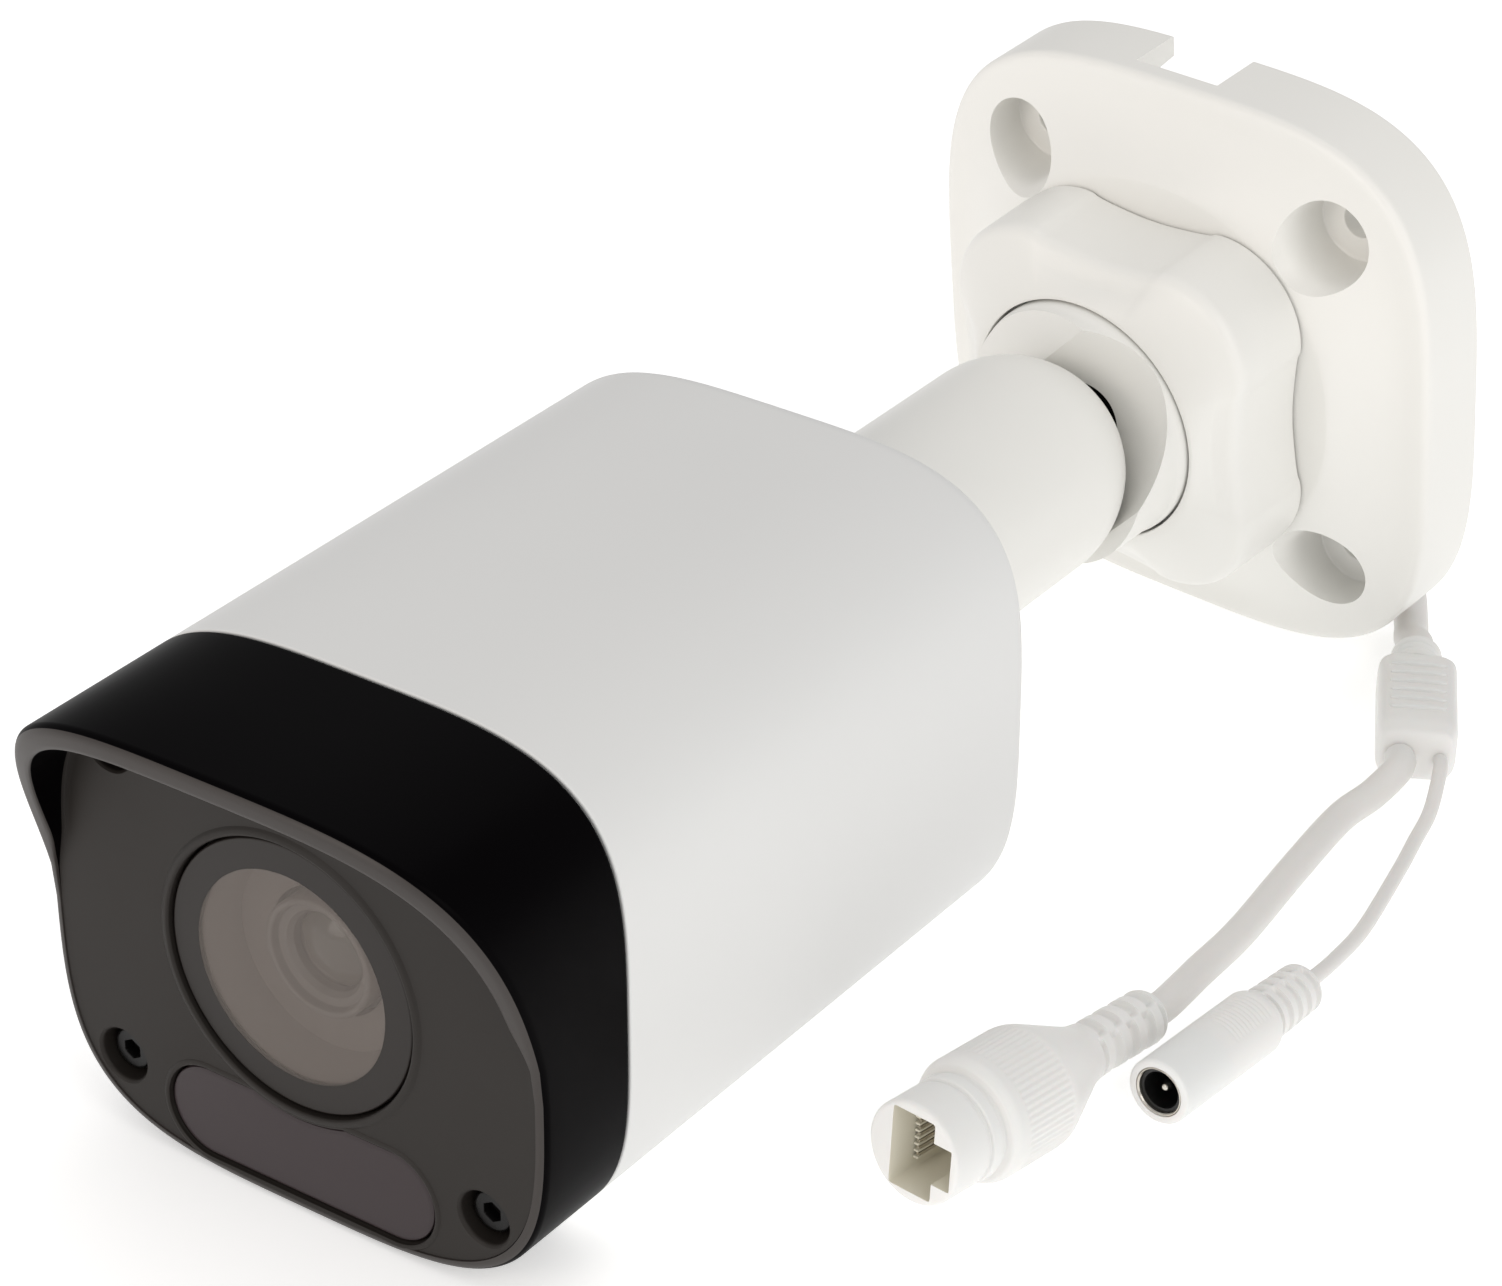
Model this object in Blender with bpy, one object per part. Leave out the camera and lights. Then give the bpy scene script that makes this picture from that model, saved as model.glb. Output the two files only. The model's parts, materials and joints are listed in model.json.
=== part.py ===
"""Bullet security camera on a three-axis wall bracket, with its Y lead.

The camera lies on a table: the body rests on its lower front edge and the base plate on its
lower edge, and the lead lies beside it. Metres, +Z up, and the lens looks toward -Y.

Three frames are used. "Base" has its origin at the centre of the plate's back, +Y into the
wall. "Body" has its origin at the centre of the front face, +Y to the rear along the arm.
The world frame stands on the table. The pivot is the point where the arm's axis meets the
base's axis, and it ties the two frames together.
"""
import math

import bmesh
import bpy
import numpy as np
from mathutils import Matrix, Vector

MM = 0.001

# ---- clearances (mm)
GAP = 0.3              # between pieces that touch
SLIDE_GAP = 0.3        # each side of a sliding or turning fit
CORD_GAP = 0.5         # between a cord's end and its fitting, as the cord may arrive at a slant

# ---- camera body (mm, body frame)
BODY_W = 80.0          # outside width
BODY_H = 71.2          # outside height
BODY_POWER = 3.67      # superellipse exponent of the section
BAND = 17.1            # front face to the start of the shell
BODY_LEN = 106.8       # front face to the rear wall
SHELL_WALL = 2.4
SHELL_REAR = 3.0       # rear wall
REAR_FILLET = 3.0
FACE_T = 6.0           # thickness of the bezel's face
BEZEL_WALL = 2.4
HOOD_OUT = 12.5        # how far the hood stands out at the top
HOOD_WALL = 3.0
HOOD_BEND = 1.25       # shape of the hood's front edge seen from the side
EDGE_R = 1.4           # rounding of the front edge

# ---- optics (mm)
WINDOW_R = 19.45
WINDOW_T = 2.7
WINDOW_Z = 0.25
WINDOW_IN = 0.3        # window sits this far behind the face
LEDGE = 2.0            # ledge that the windows rest on
SHIELD_T = 1.9         # wall of the light shield ring
SHIELD_L = 6.4
IR_W, IR_H, IR_Z = 43.4, 13.3, -26.6
IR_LAND = 1.5          # face material left between the two windows
BARREL_R = 8.5         # lens front ring
BARREL_Y = 5.2
THREAD_R = 6.0         # M12 thread
GLASS_R = 5.3
SLOT_T = 2.0           # slot that the filter slides in
SLOT_H = 12.6
FILTER_STROKE = 8.0
SENSOR_BOARD = 38.0
MAIN_BOARD_W, MAIN_BOARD_H, MAIN_BOARD_Y = 62.0, 54.0, 50.0
BOARD_T = 1.6
CHASSIS_Y, CHASSIS_T, CHASSIS_LEN = 10.0, 3.0, 14.0
PILLAR_R, PILLAR_X, PILLAR_Z = 2.2, 25.0, 21.0

# ---- bezel screws (mm)
SCREW_LOW = (29.8, -23.6)
SCREW_TOP = (28.0, 24.4)
RECESS_R = 3.75
RECESS_D = 4.4
HEAD_R, HEAD_H = 3.0, 2.4
SHANK_R = 1.5

# ---- arm and ball (mm)
ARM_R = 17.6
BORE_R = 6.5           # the lead runs through this
SPIGOT_R = 9.2
NUT_R, NUT_T = 14.0, 4.0
SEAL_R, SEAL_D = 13.2, 1.3
ARM_LEN = 56.9         # shell to pivot
TURRET_R = 19.6        # part of the turret that shows
FLANGE_R, FLANGE_T = 22.0, 5.0
RIM_OUT = 9.0          # turret's rim in front of the ring, on average
RIM_RISE = 6.0         # the rim is this much higher at the lower right, and lower at the upper left

# ---- base (mm, base frame)
PLATE_W = 91.6
PLATE_H = 91.6
PLATE_POWER = 3.53
PLATE_T = 13.1         # at the outline
PLATE_WALL = 3.4
PLATE_SKIN = 4.2       # front skin
PAD_H = 5.2            # the front swells this much toward the lock ring
PAD_R = 27.0
PLATE_FILLET = 2.2
HOLE_AT = 28.7         # mounting holes, from the centre on both axes
CBORE_R, CBORE_D = 6.6, 9.0
HOLE_R = 2.7
POST_R = 9.8
POST_IN = 0.6          # posts end this far inside the rim
NOTCH_W, NOTCH_X = 15.0, -2.4
NOTCH_SKIN = 3.6
CABLE_HOLE_R = 7.5
GLAND_L, GLAND_NOSE = 14.0, 5.0
RING_H = 24.6          # plate outline to the ring's front
RING_LOBE, RING_DIP = 32.2, 25.4
RING_SWELL = 4.0       # the ring's face rises this much to its opening
LIP_T = 3.0
PIVOT_OUT = 18.3       # pivot in front of the ring

# ---- how it lies
PAN_AT_REST = -5.4     # degrees, base turned about the vertical
LEAN = 7.1             # degrees, plate's top toward the front

# ---- lead (mm)
MAIN_D, NET_D, POWER_D = 5.4, 4.6, 2.2
SPLIT_W, SPLIT_H = 12.0, 9.6
NET_EXIT, POWER_EXIT = 2.5, -3.5      # where the two tails leave the splitter, across it
STRAIGHT = 3.0         # a tail leaves and enters its fitting this straight
JACK_R, SLEEVE_R, BOOT_R = 7.35, 8.9, 3.9
JACK_ROLL = 90.0       # the latch side of the network socket faces sideways
PLUG_H, PLUG_FLOOR = 6.9, -3.6        # the plug's way, and how far its floor is from the middle
CONTACT_H = 0.7
DC_R, DC_L, DC_BOOT_R = 4.75, 22.6, 3.6
DC_BORE_R, DC_PIN_R = 2.9, 0.55

# route points on the table, with zero under the middle of the plate
MAIN_ROUTE = [(0.77, 6.48, 45.2), (4.27, 15.48, 37.5), (11.27, 20.98, 23.5), (19.77, 20.78, 9.5),
              (28.77, 12.48, 3.2), (35.77, 0.98, 3), (38.97, -5.22, 4.2)]
SPLIT_FROM, SPLIT_TO = (43.07, -11.32, 5.6), (58.37, -39.62, 5.6)
NET_ROUTE = [(56.67, -49.42, 3.6), (55.37, -57.02, 2.6), (57.07, -73.72, 2.6), (59.37, -92.32, 2.6),
             (60.67, -105.82, 3.7)]
JACK_FROM, JACK_TO = (57.07, -171.72, 9), (62.67, -122.02, 6.4)
POWER_ROUTE = [(65.17, -47.42, 2.8), (66.37, -54.02, 1.5), (68.57, -63.42, 1.4), (71.97, -79.72, 1.5),
               (73.77, -91.02, 3.1)]
DC_FROM, DC_TO = (72.17, -136.02, 4.95), (74.57, -101.02, 4.6)

SIDES = 48             # around the body and plate
ROUND = 28             # around small round pieces


# ---------------------------------------------------------------- helpers
def material(name, rgb, metallic=0.0, rough=0.5):
    mat = bpy.data.materials.get(name)
    if mat is None:
        mat = bpy.data.materials.new(name)
        mat.use_nodes = True
        shader = mat.node_tree.nodes["Principled BSDF"]
        shader.inputs["Base Color"].default_value = (*rgb, 1.0)
        shader.inputs["Metallic"].default_value = metallic
        shader.inputs["Roughness"].default_value = rough
        mat.diffuse_color = (*rgb, 1.0)
    return mat


def new_object(name, verts, faces, mat, frame, smooth=False):
    """A mesh object from points in mm, placed by a frame matrix in metres."""
    mesh = bpy.data.meshes.new(name)
    mesh.from_pydata((np.asarray(verts) * MM).tolist(), [], faces)
    form = bmesh.new()
    form.from_mesh(mesh)
    bmesh.ops.recalc_face_normals(form, faces=form.faces)
    form.to_mesh(mesh)
    form.free()
    if mat:
        mesh.materials.append(mat)
    if smooth:
        mesh.polygons.foreach_set("use_smooth", [True] * len(mesh.polygons))
    obj = bpy.data.objects.new(name, mesh)
    obj.matrix_world = frame
    bpy.context.scene.collection.objects.link(obj)
    return obj


def angles(n):
    """n angles round a turn, half a step off the axes so that flats face each axis."""
    return (np.arange(n) + 0.5) * 2 * np.pi / n


def superellipse(a, b, power, n=SIDES):
    t = angles(n)
    c, s = np.cos(t), np.sin(t)
    return np.stack([a * np.sign(c) * abs(c) ** (2 / power), b * np.sign(s) * abs(s) ** (2 / power)], 1)


def circle(r, n=SIDES):
    t = angles(n)
    return np.stack([r * np.cos(t), r * np.sin(t)], 1)


def at_y(outline, y, cx=0.0, cz=0.0):
    """An x-z outline as points at depth y, which may be one value or one per point."""
    return np.stack([outline[:, 0] + cx, np.broadcast_to(y, len(outline)), outline[:, 1] + cz], 1)


def loft(name, loops, mat, frame, closed=False, smooth=False):
    """A closed skin through loops of equal length. closed=True joins the last loop to the
    first, as in a ring or cup with a hole; otherwise each end is capped from its middle."""
    n, rows = len(loops[0]), len(loops)
    verts = np.concatenate(loops)
    faces = []
    for i in range(rows if closed else rows - 1):
        j = (i + 1) % rows
        for k in range(n):
            m = (k + 1) % n
            faces.append((i * n + k, i * n + m, j * n + m, j * n + k))
    if not closed:
        verts = np.vstack([verts, loops[0].mean(0), loops[-1].mean(0)])
        first, last, base = len(verts) - 2, len(verts) - 1, (rows - 1) * n
        faces += [((k + 1) % n, k, first) for k in range(n)]
        faces += [(base + k, base + (k + 1) % n, last) for k in range(n)]
    return new_object(name, verts, faces, mat, frame, smooth)


def lathe(name, profile, mat, frame, n=ROUND, cx=0.0, cz=0.0, smooth=True):
    """Turns a (y, radius) profile about the local Y axis. A profile that starts and ends at
    radius 0 is a solid; any other is closed on itself as a ring."""
    solid = profile[0][1] == 0 and profile[-1][1] == 0
    rows = profile[1:-1] if solid else profile
    loops = [at_y(circle(r, n), y, cx, cz) for y, r in rows]
    obj = loft(name, loops, mat, frame, closed=not solid, smooth=smooth)
    if solid:
        mesh = obj.data
        for index, (y, _) in ((-2, profile[0]), (-1, profile[-1])):
            mesh.vertices[len(mesh.vertices) + index].co.y = y * MM
    return obj


def prism(name, outline, y0, y1, mat, frame, cx=0.0, cz=0.0):
    return loft(name, [at_y(outline, y0, cx, cz), at_y(outline, y1, cx, cz)], mat, frame)


def block(name, size, centre, mat, frame):
    x, y, z = (0.5 * s for s in size)
    corners = [(sx * x + centre[0], sy * y + centre[1], sz * z + centre[2])
               for sx in (-1, 1) for sy in (-1, 1) for sz in (-1, 1)]
    faces = [(0, 1, 3, 2), (4, 6, 7, 5), (0, 4, 5, 1), (2, 3, 7, 6), (0, 2, 6, 4), (1, 5, 7, 3)]
    return new_object(name, corners, faces, mat, frame)


def cut(obj, *cutters):
    """Subtracts each cutter by a live Boolean."""
    for cutter in cutters:
        mod = obj.modifiers.new("cut " + cutter.name, "BOOLEAN")
        mod.operation, mod.solver, mod.object = "DIFFERENCE", "EXACT", cutter
        cutter.hide_render = True
        cutter.hide_viewport = False
        cutter.display_type = "WIRE"


def stadium(width, height, n=ROUND):
    """Outline of a slot with round ends."""
    r = height / 2
    t = angles(n)
    x, z = r * np.cos(t), r * np.sin(t)
    return np.stack([x + np.sign(x) * (width / 2 - r), z], 1)


def bitten_stadium(width, height, z, bite_r, bite_z, n=56):
    """A stadium whose top is pushed out of a circle, so a round window fits beside it."""
    t = np.linspace(0, 1, n, endpoint=False)
    r, flat = height / 2, width - height
    total = 2 * flat + 2 * np.pi * r
    pts = []
    for s in t * total:
        if s < flat:
            pts.append((-flat / 2 + s, r))
        elif s < flat + np.pi * r:
            a = math.pi / 2 - (s - flat) / r
            pts.append((flat / 2 + r * math.cos(a), r * math.sin(a)))
        elif s < 2 * flat + np.pi * r:
            pts.append((flat / 2 - (s - flat - np.pi * r), -r))
        else:
            a = -math.pi / 2 - (s - 2 * flat - np.pi * r) / r
            pts.append((-flat / 2 + r * math.cos(a), r * math.sin(a)))
    p = np.array(pts)[::-1]
    p[:, 1] += z - bite_z
    inside = np.hypot(p[:, 0], p[:, 1]) < bite_r
    p[inside, 1] = -np.sqrt(bite_r ** 2 - p[inside, 0] ** 2)
    p[:, 1] += bite_z
    return p


def frame_matrix(origin, rotation):
    m = rotation.to_4x4()
    m.translation = Vector(origin) * MM
    return m


def rot(axis, degrees):
    return Matrix.Rotation(math.radians(degrees), 3, axis)


def points_in(frame, points):
    m = np.array(frame)
    return np.asarray(points) * MM @ m[:3, :3].T + m[:3, 3]


def along(start, end):
    """A frame whose -Y end is at start and whose +Y runs to end, with Z as near up as it can."""
    y = (Vector(end) - Vector(start)).normalized()
    x = y.cross(Vector((0, 0, 1))).normalized()
    z = x.cross(y)
    return frame_matrix(start, Matrix((x, y, z)).transposed())


def smooth_route(points, spacing):
    """Points along a Catmull-Rom curve through the route points, evenly spaced between two
    short end runs that keep each end square to its fitting."""
    p = np.array(points, float)
    p = np.vstack([2 * p[0] - p[1], p, 2 * p[-1] - p[-2]])
    fine = []
    for i in range(1, len(p) - 2):
        a, b, c, d = p[i - 1:i + 3]
        for t in np.linspace(0, 1, 24, endpoint=False):
            fine.append(0.5 * (2 * b + (c - a) * t + (2 * a - 5 * b + 4 * c - d) * t ** 2
                               + (3 * b - a - 3 * c + d) * t ** 3))
    fine.append(p[-2])
    fine = np.array(fine)
    s = np.concatenate([[0], np.cumsum(np.linalg.norm(np.diff(fine, axis=0), axis=1))])
    count = max(4, int(round(s[-1] / spacing)) + 1)
    end = STRAIGHT * 0.8
    at = np.concatenate([[0], np.linspace(end, s[-1] - end, count), [s[-1]]])
    return np.stack([np.interp(at, s, fine[:, k]) for k in range(3)], 1)


def tube(name, points, diameter, mat, frame, resolution):
    """A round cord along a poly spline, with filled ends."""
    curve = bpy.data.curves.new(name, "CURVE")
    curve.dimensions = "3D"
    curve.bevel_depth = diameter * MM / 2
    curve.bevel_resolution = resolution
    curve.use_fill_caps = True
    spline = curve.splines.new("POLY")
    spline.points.add(len(points) - 1)
    co = np.column_stack([points * MM, np.ones(len(points))])
    spline.points.foreach_set("co", co.ravel())
    curve.materials.append(mat)
    obj = bpy.data.objects.new(name, curve)
    obj.matrix_world = frame
    bpy.context.scene.collection.objects.link(obj)
    return obj


# ---------------------------------------------------------------- start clean
for old in list(bpy.data.objects):
    bpy.data.objects.remove(old, do_unlink=True)

WHITE = material("white powder coat", (0.80, 0.80, 0.79), 0.0, 0.45)
BASE_WHITE = material("white cast aluminium paint", (0.84, 0.84, 0.82), 0.0, 0.4)
BLACK = material("black moulded polycarbonate", (0.012, 0.011, 0.012), 0.0, 0.35)
GLASS = material("tempered window glass", (0.10, 0.09, 0.09), 0.0, 0.08)
IR_DARK = material("infrared passing acrylic", (0.03, 0.02, 0.022), 0.0, 0.2)
RUBBER = material("black rubber", (0.02, 0.02, 0.02), 0.0, 0.8)
BARREL = material("anodised lens barrel", (0.08, 0.08, 0.08), 0.6, 0.4)
STEEL = material("zinc plated steel", (0.55, 0.55, 0.56), 1.0, 0.35)
BOARD = material("green circuit board", (0.02, 0.16, 0.06), 0.0, 0.5)
CHIP = material("silicon and ceramic", (0.05, 0.05, 0.06), 0.2, 0.3)
NYLON = material("black nylon", (0.03, 0.03, 0.03), 0.0, 0.6)
FILTER = material("coated filter glass", (0.20, 0.35, 0.30), 0.0, 0.1)
EMITTER = material("clear epoxy", (0.5, 0.5, 0.55), 0.0, 0.1)
ALUMINIUM = material("bare aluminium", (0.6, 0.6, 0.6), 1.0, 0.4)
PVC = material("white pvc", (0.78, 0.77, 0.76), 0.0, 0.5)
MOULD = material("white moulded pvc", (0.82, 0.81, 0.80), 0.0, 0.5)
BRASS = material("nickel plated brass", (0.65, 0.62, 0.56), 1.0, 0.3)

# ---------------------------------------------------------------- frames
PIVOT_Y = -(PLATE_T + RING_H + PIVOT_OUT)       # pivot in the base frame
RING_Y = -(PLATE_T + RING_H)                    # ring's front
REACH = BODY_LEN + ARM_LEN                      # front face to pivot

base_rot = rot("Z", PAN_AT_REST) @ rot("X", LEAN)


def plate_ring(scale_a, scale_b, y):
    return at_y(superellipse(PLATE_W / 2 * scale_a, PLATE_H / 2 * scale_b, PLATE_POWER), y)


def plate_inside(wall, y):
    return plate_ring(1 - 2 * wall / PLATE_W, 1 - 2 * wall / PLATE_H, y)


def bezel_edge(inset, y):
    return at_y(superellipse(BODY_W / 2 - inset, BODY_H / 2 - inset, BODY_POWER), y)


def hood_front(outline):
    """Depth of the front edge: the hood stands out more toward the top."""
    up = np.clip(outline[:, 1] / (BODY_H / 2), 0, 1)
    return -HOOD_OUT * up ** HOOD_BEND - 0.2


plate_low = np.vstack([plate_ring(1, 1, -PLATE_T + PLATE_FILLET), plate_ring(1, 1, 0.0)])
base_lift = -points_in(frame_matrix((0, 0, 0), base_rot), plate_low)[:, 2].min() / MM
pivot = base_rot @ Vector((0, PIVOT_Y, 0))
BASE_AT = Vector((-pivot.x, REACH - pivot.y, base_lift))
PIVOT_AT = BASE_AT + pivot
section = superellipse(BODY_W / 2, BODY_H / 2, BODY_POWER)
body_low = at_y(section, hood_front(section) + EDGE_R) - np.array([0, REACH, 0])


def body_height(nose):
    """Lowest point of the bezel above the table when the nose is down by this angle."""
    return (points_in(frame_matrix(PIVOT_AT, rot("X", nose)), body_low)[:, 2]).min()


low, high = -15.0, 20.0
for _ in range(50):
    NOSE = (low + high) / 2
    if body_height(NOSE) > 0:
        low = NOSE
    else:
        high = NOSE
body_rot = rot("X", NOSE)
TABLE = Matrix.Identity(4)
BASE = frame_matrix(BASE_AT, base_rot)
BODY = frame_matrix(PIVOT_AT + body_rot @ Vector((0, -REACH, 0)), body_rot)
ARM = frame_matrix(PIVOT_AT, body_rot)          # at the pivot, for what tilts
arm_in_base = base_rot.transposed() @ body_rot @ Vector((0, -1, 0))
SLOT_TURN = math.degrees(math.atan2(arm_in_base.z, arm_in_base.x))   # slot direction in the ring
TILT_AT_REST = math.degrees(math.acos(-arm_in_base.y))
SLOT = BASE @ frame_matrix((0, PIVOT_Y, 0), rot("Y", -SLOT_TURN))    # +X along the slot

# ---------------------------------------------------------------- body shell
inner = (SHELL_WALL, SHELL_WALL + 1.6)
hole = SPIGOT_R + SLIDE_GAP
loft("body_shell", [
    bezel_edge(0.5, BAND), bezel_edge(0, BAND + 0.5),
    bezel_edge(0, BODY_LEN - REAR_FILLET), bezel_edge(REAR_FILLET * 0.13, BODY_LEN - REAR_FILLET * 0.5),
    bezel_edge(REAR_FILLET * 0.5, BODY_LEN - REAR_FILLET * 0.13), bezel_edge(REAR_FILLET, BODY_LEN),
    at_y(circle(hole), BODY_LEN), at_y(circle(hole), BODY_LEN - SHELL_REAR),
    bezel_edge(inner[1], BODY_LEN - SHELL_REAR), bezel_edge(inner[0], BODY_LEN - SHELL_REAR - 2.0),
    bezel_edge(inner[0], BAND)], WHITE, BODY, closed=True)

# ---------------------------------------------------------------- bezel with hood
edge = hood_front(section)
lift = np.clip(-edge / 3.0, 0, 1)
ease = lift * lift * (3 - 2 * lift)
face_inset = EDGE_R + 0.1 + (HOOD_WALL - EDGE_R) * ease
face_line = np.stack([superellipse(BODY_W / 2 - d, BODY_H / 2 - d, BODY_POWER)[k]
                      for k, d in enumerate(face_inset)])
bezel = loft("front_bezel", [
    at_y(face_line, 0.0), at_y(face_line + section * 0.002, edge + 0.15),
    bezel_edge(EDGE_R * 0.95, edge), bezel_edge(EDGE_R * 0.3, edge + EDGE_R * 0.3),
    bezel_edge(0, edge + EDGE_R), bezel_edge(0, BAND - GAP - 0.3), bezel_edge(0.3, BAND - GAP),
    bezel_edge(BEZEL_WALL, BAND - GAP), bezel_edge(BEZEL_WALL, FACE_T)], BLACK, BODY)
seat = WINDOW_IN + WINDOW_T + GAP
ledge_r = WINDOW_R + GAP - LEDGE
lens_cut = lathe("cut_lens", [(-20, 0), (-20, WINDOW_R + GAP), (seat, WINDOW_R + GAP),
                              (seat, ledge_r), (FACE_T + 3, ledge_r), (FACE_T + 3, 0)],
                 None, BODY, n=40, cz=WINDOW_Z)
bite = WINDOW_R + GAP + IR_LAND
ir_seat = prism("cut_ir_seat", bitten_stadium(IR_W + 2 * GAP, IR_H + 2 * GAP, IR_Z, bite, WINDOW_Z),
                -5, seat, None, BODY)
ir_way = prism("cut_ir_way", bitten_stadium(IR_W - 2 * LEDGE, IR_H - 2 * LEDGE, IR_Z, bite + LEDGE + GAP,
                                            WINDOW_Z), seat - 1, FACE_T + 3, None, BODY)
SCREWS = [(s * x, z) for x, z in (SCREW_LOW, SCREW_TOP) for s in (-1, 1)]
recesses = [lathe("cut_recess_%d" % i, [(-3, 0), (-3, RECESS_R), (RECESS_D, RECESS_R),
                                        (RECESS_D, SHANK_R + GAP), (FACE_T + 3, SHANK_R + GAP),
                                        (FACE_T + 3, 0)], None, BODY, n=16, cx=x, cz=z)
            for i, (x, z) in enumerate(SCREWS)]
cut(bezel, lens_cut, ir_seat, ir_way, *recesses)

# ---------------------------------------------------------------- windows and shield
lathe("lens_window", [(WINDOW_IN, 0), (WINDOW_IN, WINDOW_R - 0.6), (WINDOW_IN + 0.6, WINDOW_R),
                      (WINDOW_IN + WINDOW_T, WINDOW_R), (WINDOW_IN + WINDOW_T, 0)],
      GLASS, BODY, n=40, cz=WINDOW_Z)
prism("ir_window", bitten_stadium(IR_W, IR_H, IR_Z, bite + GAP, WINDOW_Z),
      WINDOW_IN, WINDOW_IN + WINDOW_T, IR_DARK, BODY)
shield_r = ledge_r - GAP
lathe("light_shield", [(seat, shield_r - SHIELD_T), (seat, shield_r), (seat + SHIELD_L, shield_r),
                       (seat + SHIELD_L, shield_r - SHIELD_T)], RUBBER, BODY, n=ROUND, cz=WINDOW_Z)

# ---------------------------------------------------------------- chassis and screws
CH = BEZEL_WALL + GAP
chassis = loft("chassis_frame", [
    bezel_edge(CH, CHASSIS_Y), bezel_edge(CH, CHASSIS_Y + CHASSIS_LEN),
    bezel_edge(CH + 2.0, CHASSIS_Y + CHASSIS_LEN), bezel_edge(CH + 2.0, CHASSIS_Y + CHASSIS_T)],
    NYLON, BODY)
holes = [lathe("cut_chassis_lens", [(CHASSIS_Y - 2, 0), (CHASSIS_Y - 2, 11.5), (CHASSIS_Y + 6, 11.5),
                                    (CHASSIS_Y + 6, 0)], None, BODY, n=24, cz=WINDOW_Z)]
holes += [lathe("cut_chassis_%d" % i, [(CHASSIS_Y - 2, 0), (CHASSIS_Y - 2, SHANK_R + GAP),
                                       (CHASSIS_Y + 6, SHANK_R + GAP), (CHASSIS_Y + 6, 0)],
                None, BODY, n=16, cx=x, cz=z) for i, (x, z) in enumerate(SCREWS)]
cut(chassis, *holes)
head_y = RECESS_D - GAP
NAMES = ("bezel_screw_lower_left", "bezel_screw_lower_right", "bezel_screw_upper_left",
         "bezel_screw_upper_right")
for name, (x, z) in zip(NAMES, SCREWS):
    lathe(name, [(head_y - HEAD_H, 0), (head_y - HEAD_H, HEAD_R - 0.3), (head_y - HEAD_H + 0.3, HEAD_R),
                 (head_y, HEAD_R), (head_y, SHANK_R), (CHASSIS_Y + CHASSIS_T + 3, SHANK_R),
                 (CHASSIS_Y + CHASSIS_T + 3, 0)], STEEL, BODY, n=16, cx=x, cz=z)

# ---------------------------------------------------------------- lens
by = BARREL_Y
lathe("lens_barrel", [(by + 4.1, 0), (by + 4.1, GLASS_R + GAP), (by + 2.2, GLASS_R + GAP),
                      (by + 0.2, BARREL_R - 1.2), (by, BARREL_R - 0.9), (by, BARREL_R - 0.3),
                      (by + 0.3, BARREL_R), (by + 3.8, BARREL_R), (by + 3.8, THREAD_R + 1),
                      (by + 8.8, THREAD_R + 1), (by + 8.8, THREAD_R), (by + 18.8, THREAD_R), (by + 18.8, 0)],
      BARREL, BODY, n=24, cz=WINDOW_Z)
lathe("lens_front_glass", [(by + 1.4, 0), (by + 1.5, 1.5), (by + 1.85, 3.0), (by + 2.5, 4.3),
                           (by + 3.1, GLASS_R), (by + 3.8, GLASS_R), (by + 3.8, 0)],
      GLASS, BODY, n=24, cz=WINDOW_Z)
my = by + 11.8
mount_end = my + 11.0
lathe("lens_mount", [(my, THREAD_R + SLIDE_GAP), (my, THREAD_R + 2.2), (my + 8, THREAD_R + 2.2),
                     (my + 8, THREAD_R + 5), (mount_end, THREAD_R + 5), (mount_end, THREAD_R + SLIDE_GAP)],
      NYLON, BODY, n=24, cz=WINDOW_Z)
fy = mount_end + GAP
housing_t = SLOT_T + 3.0
slot_y = fy + 1.5
housing = block("filter_housing", (30, housing_t, 20), (0, fy + housing_t / 2, WINDOW_Z), NYLON, BODY)
cut(housing,
    block("cut_filter_slot", (40, SLOT_T, SLOT_H), (0, slot_y + SLOT_T / 2, WINDOW_Z), None, BODY),
    lathe("cut_filter_way", [(fy - 2, 0), (fy - 2, 5), (fy + 9, 5), (fy + 9, 0)], None, BODY, n=24,
          cz=WINDOW_Z))
car_t = SLOT_T - 2 * SLIDE_GAP
car_y = slot_y + SLIDE_GAP + car_t / 2
carriage = block("filter_carriage", (22, car_t, SLOT_H - 2 * SLIDE_GAP), (-4, car_y, WINDOW_Z), CHIP, BODY)
cut(carriage, *[lathe("cut_carriage_%d" % i, [(fy, 0), (fy, 3.6), (fy + 6, 3.6), (fy + 6, 0)],
                      None, BODY, n=16, cx=x, cz=WINDOW_Z) for i, x in enumerate((0.0, -FILTER_STROKE))])
lathe("infrared_cut_filter", [(car_y - 0.5, 0), (car_y - 0.5, 3.3), (car_y + 0.5, 3.3), (car_y + 0.5, 0)],
      FILTER, BODY, n=16, cz=WINDOW_Z)
board_y = fy + housing_t + GAP
block("sensor_board", (SENSOR_BOARD, BOARD_T, SENSOR_BOARD), (0, board_y + BOARD_T / 2, WINDOW_Z),
      BOARD, BODY)
sensor_t = board_y - GAP - (slot_y + SLOT_T)
block("image_sensor", (6, sensor_t, 5), (0, board_y - GAP - sensor_t / 2, WINDOW_Z), CHIP, BODY)

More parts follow.
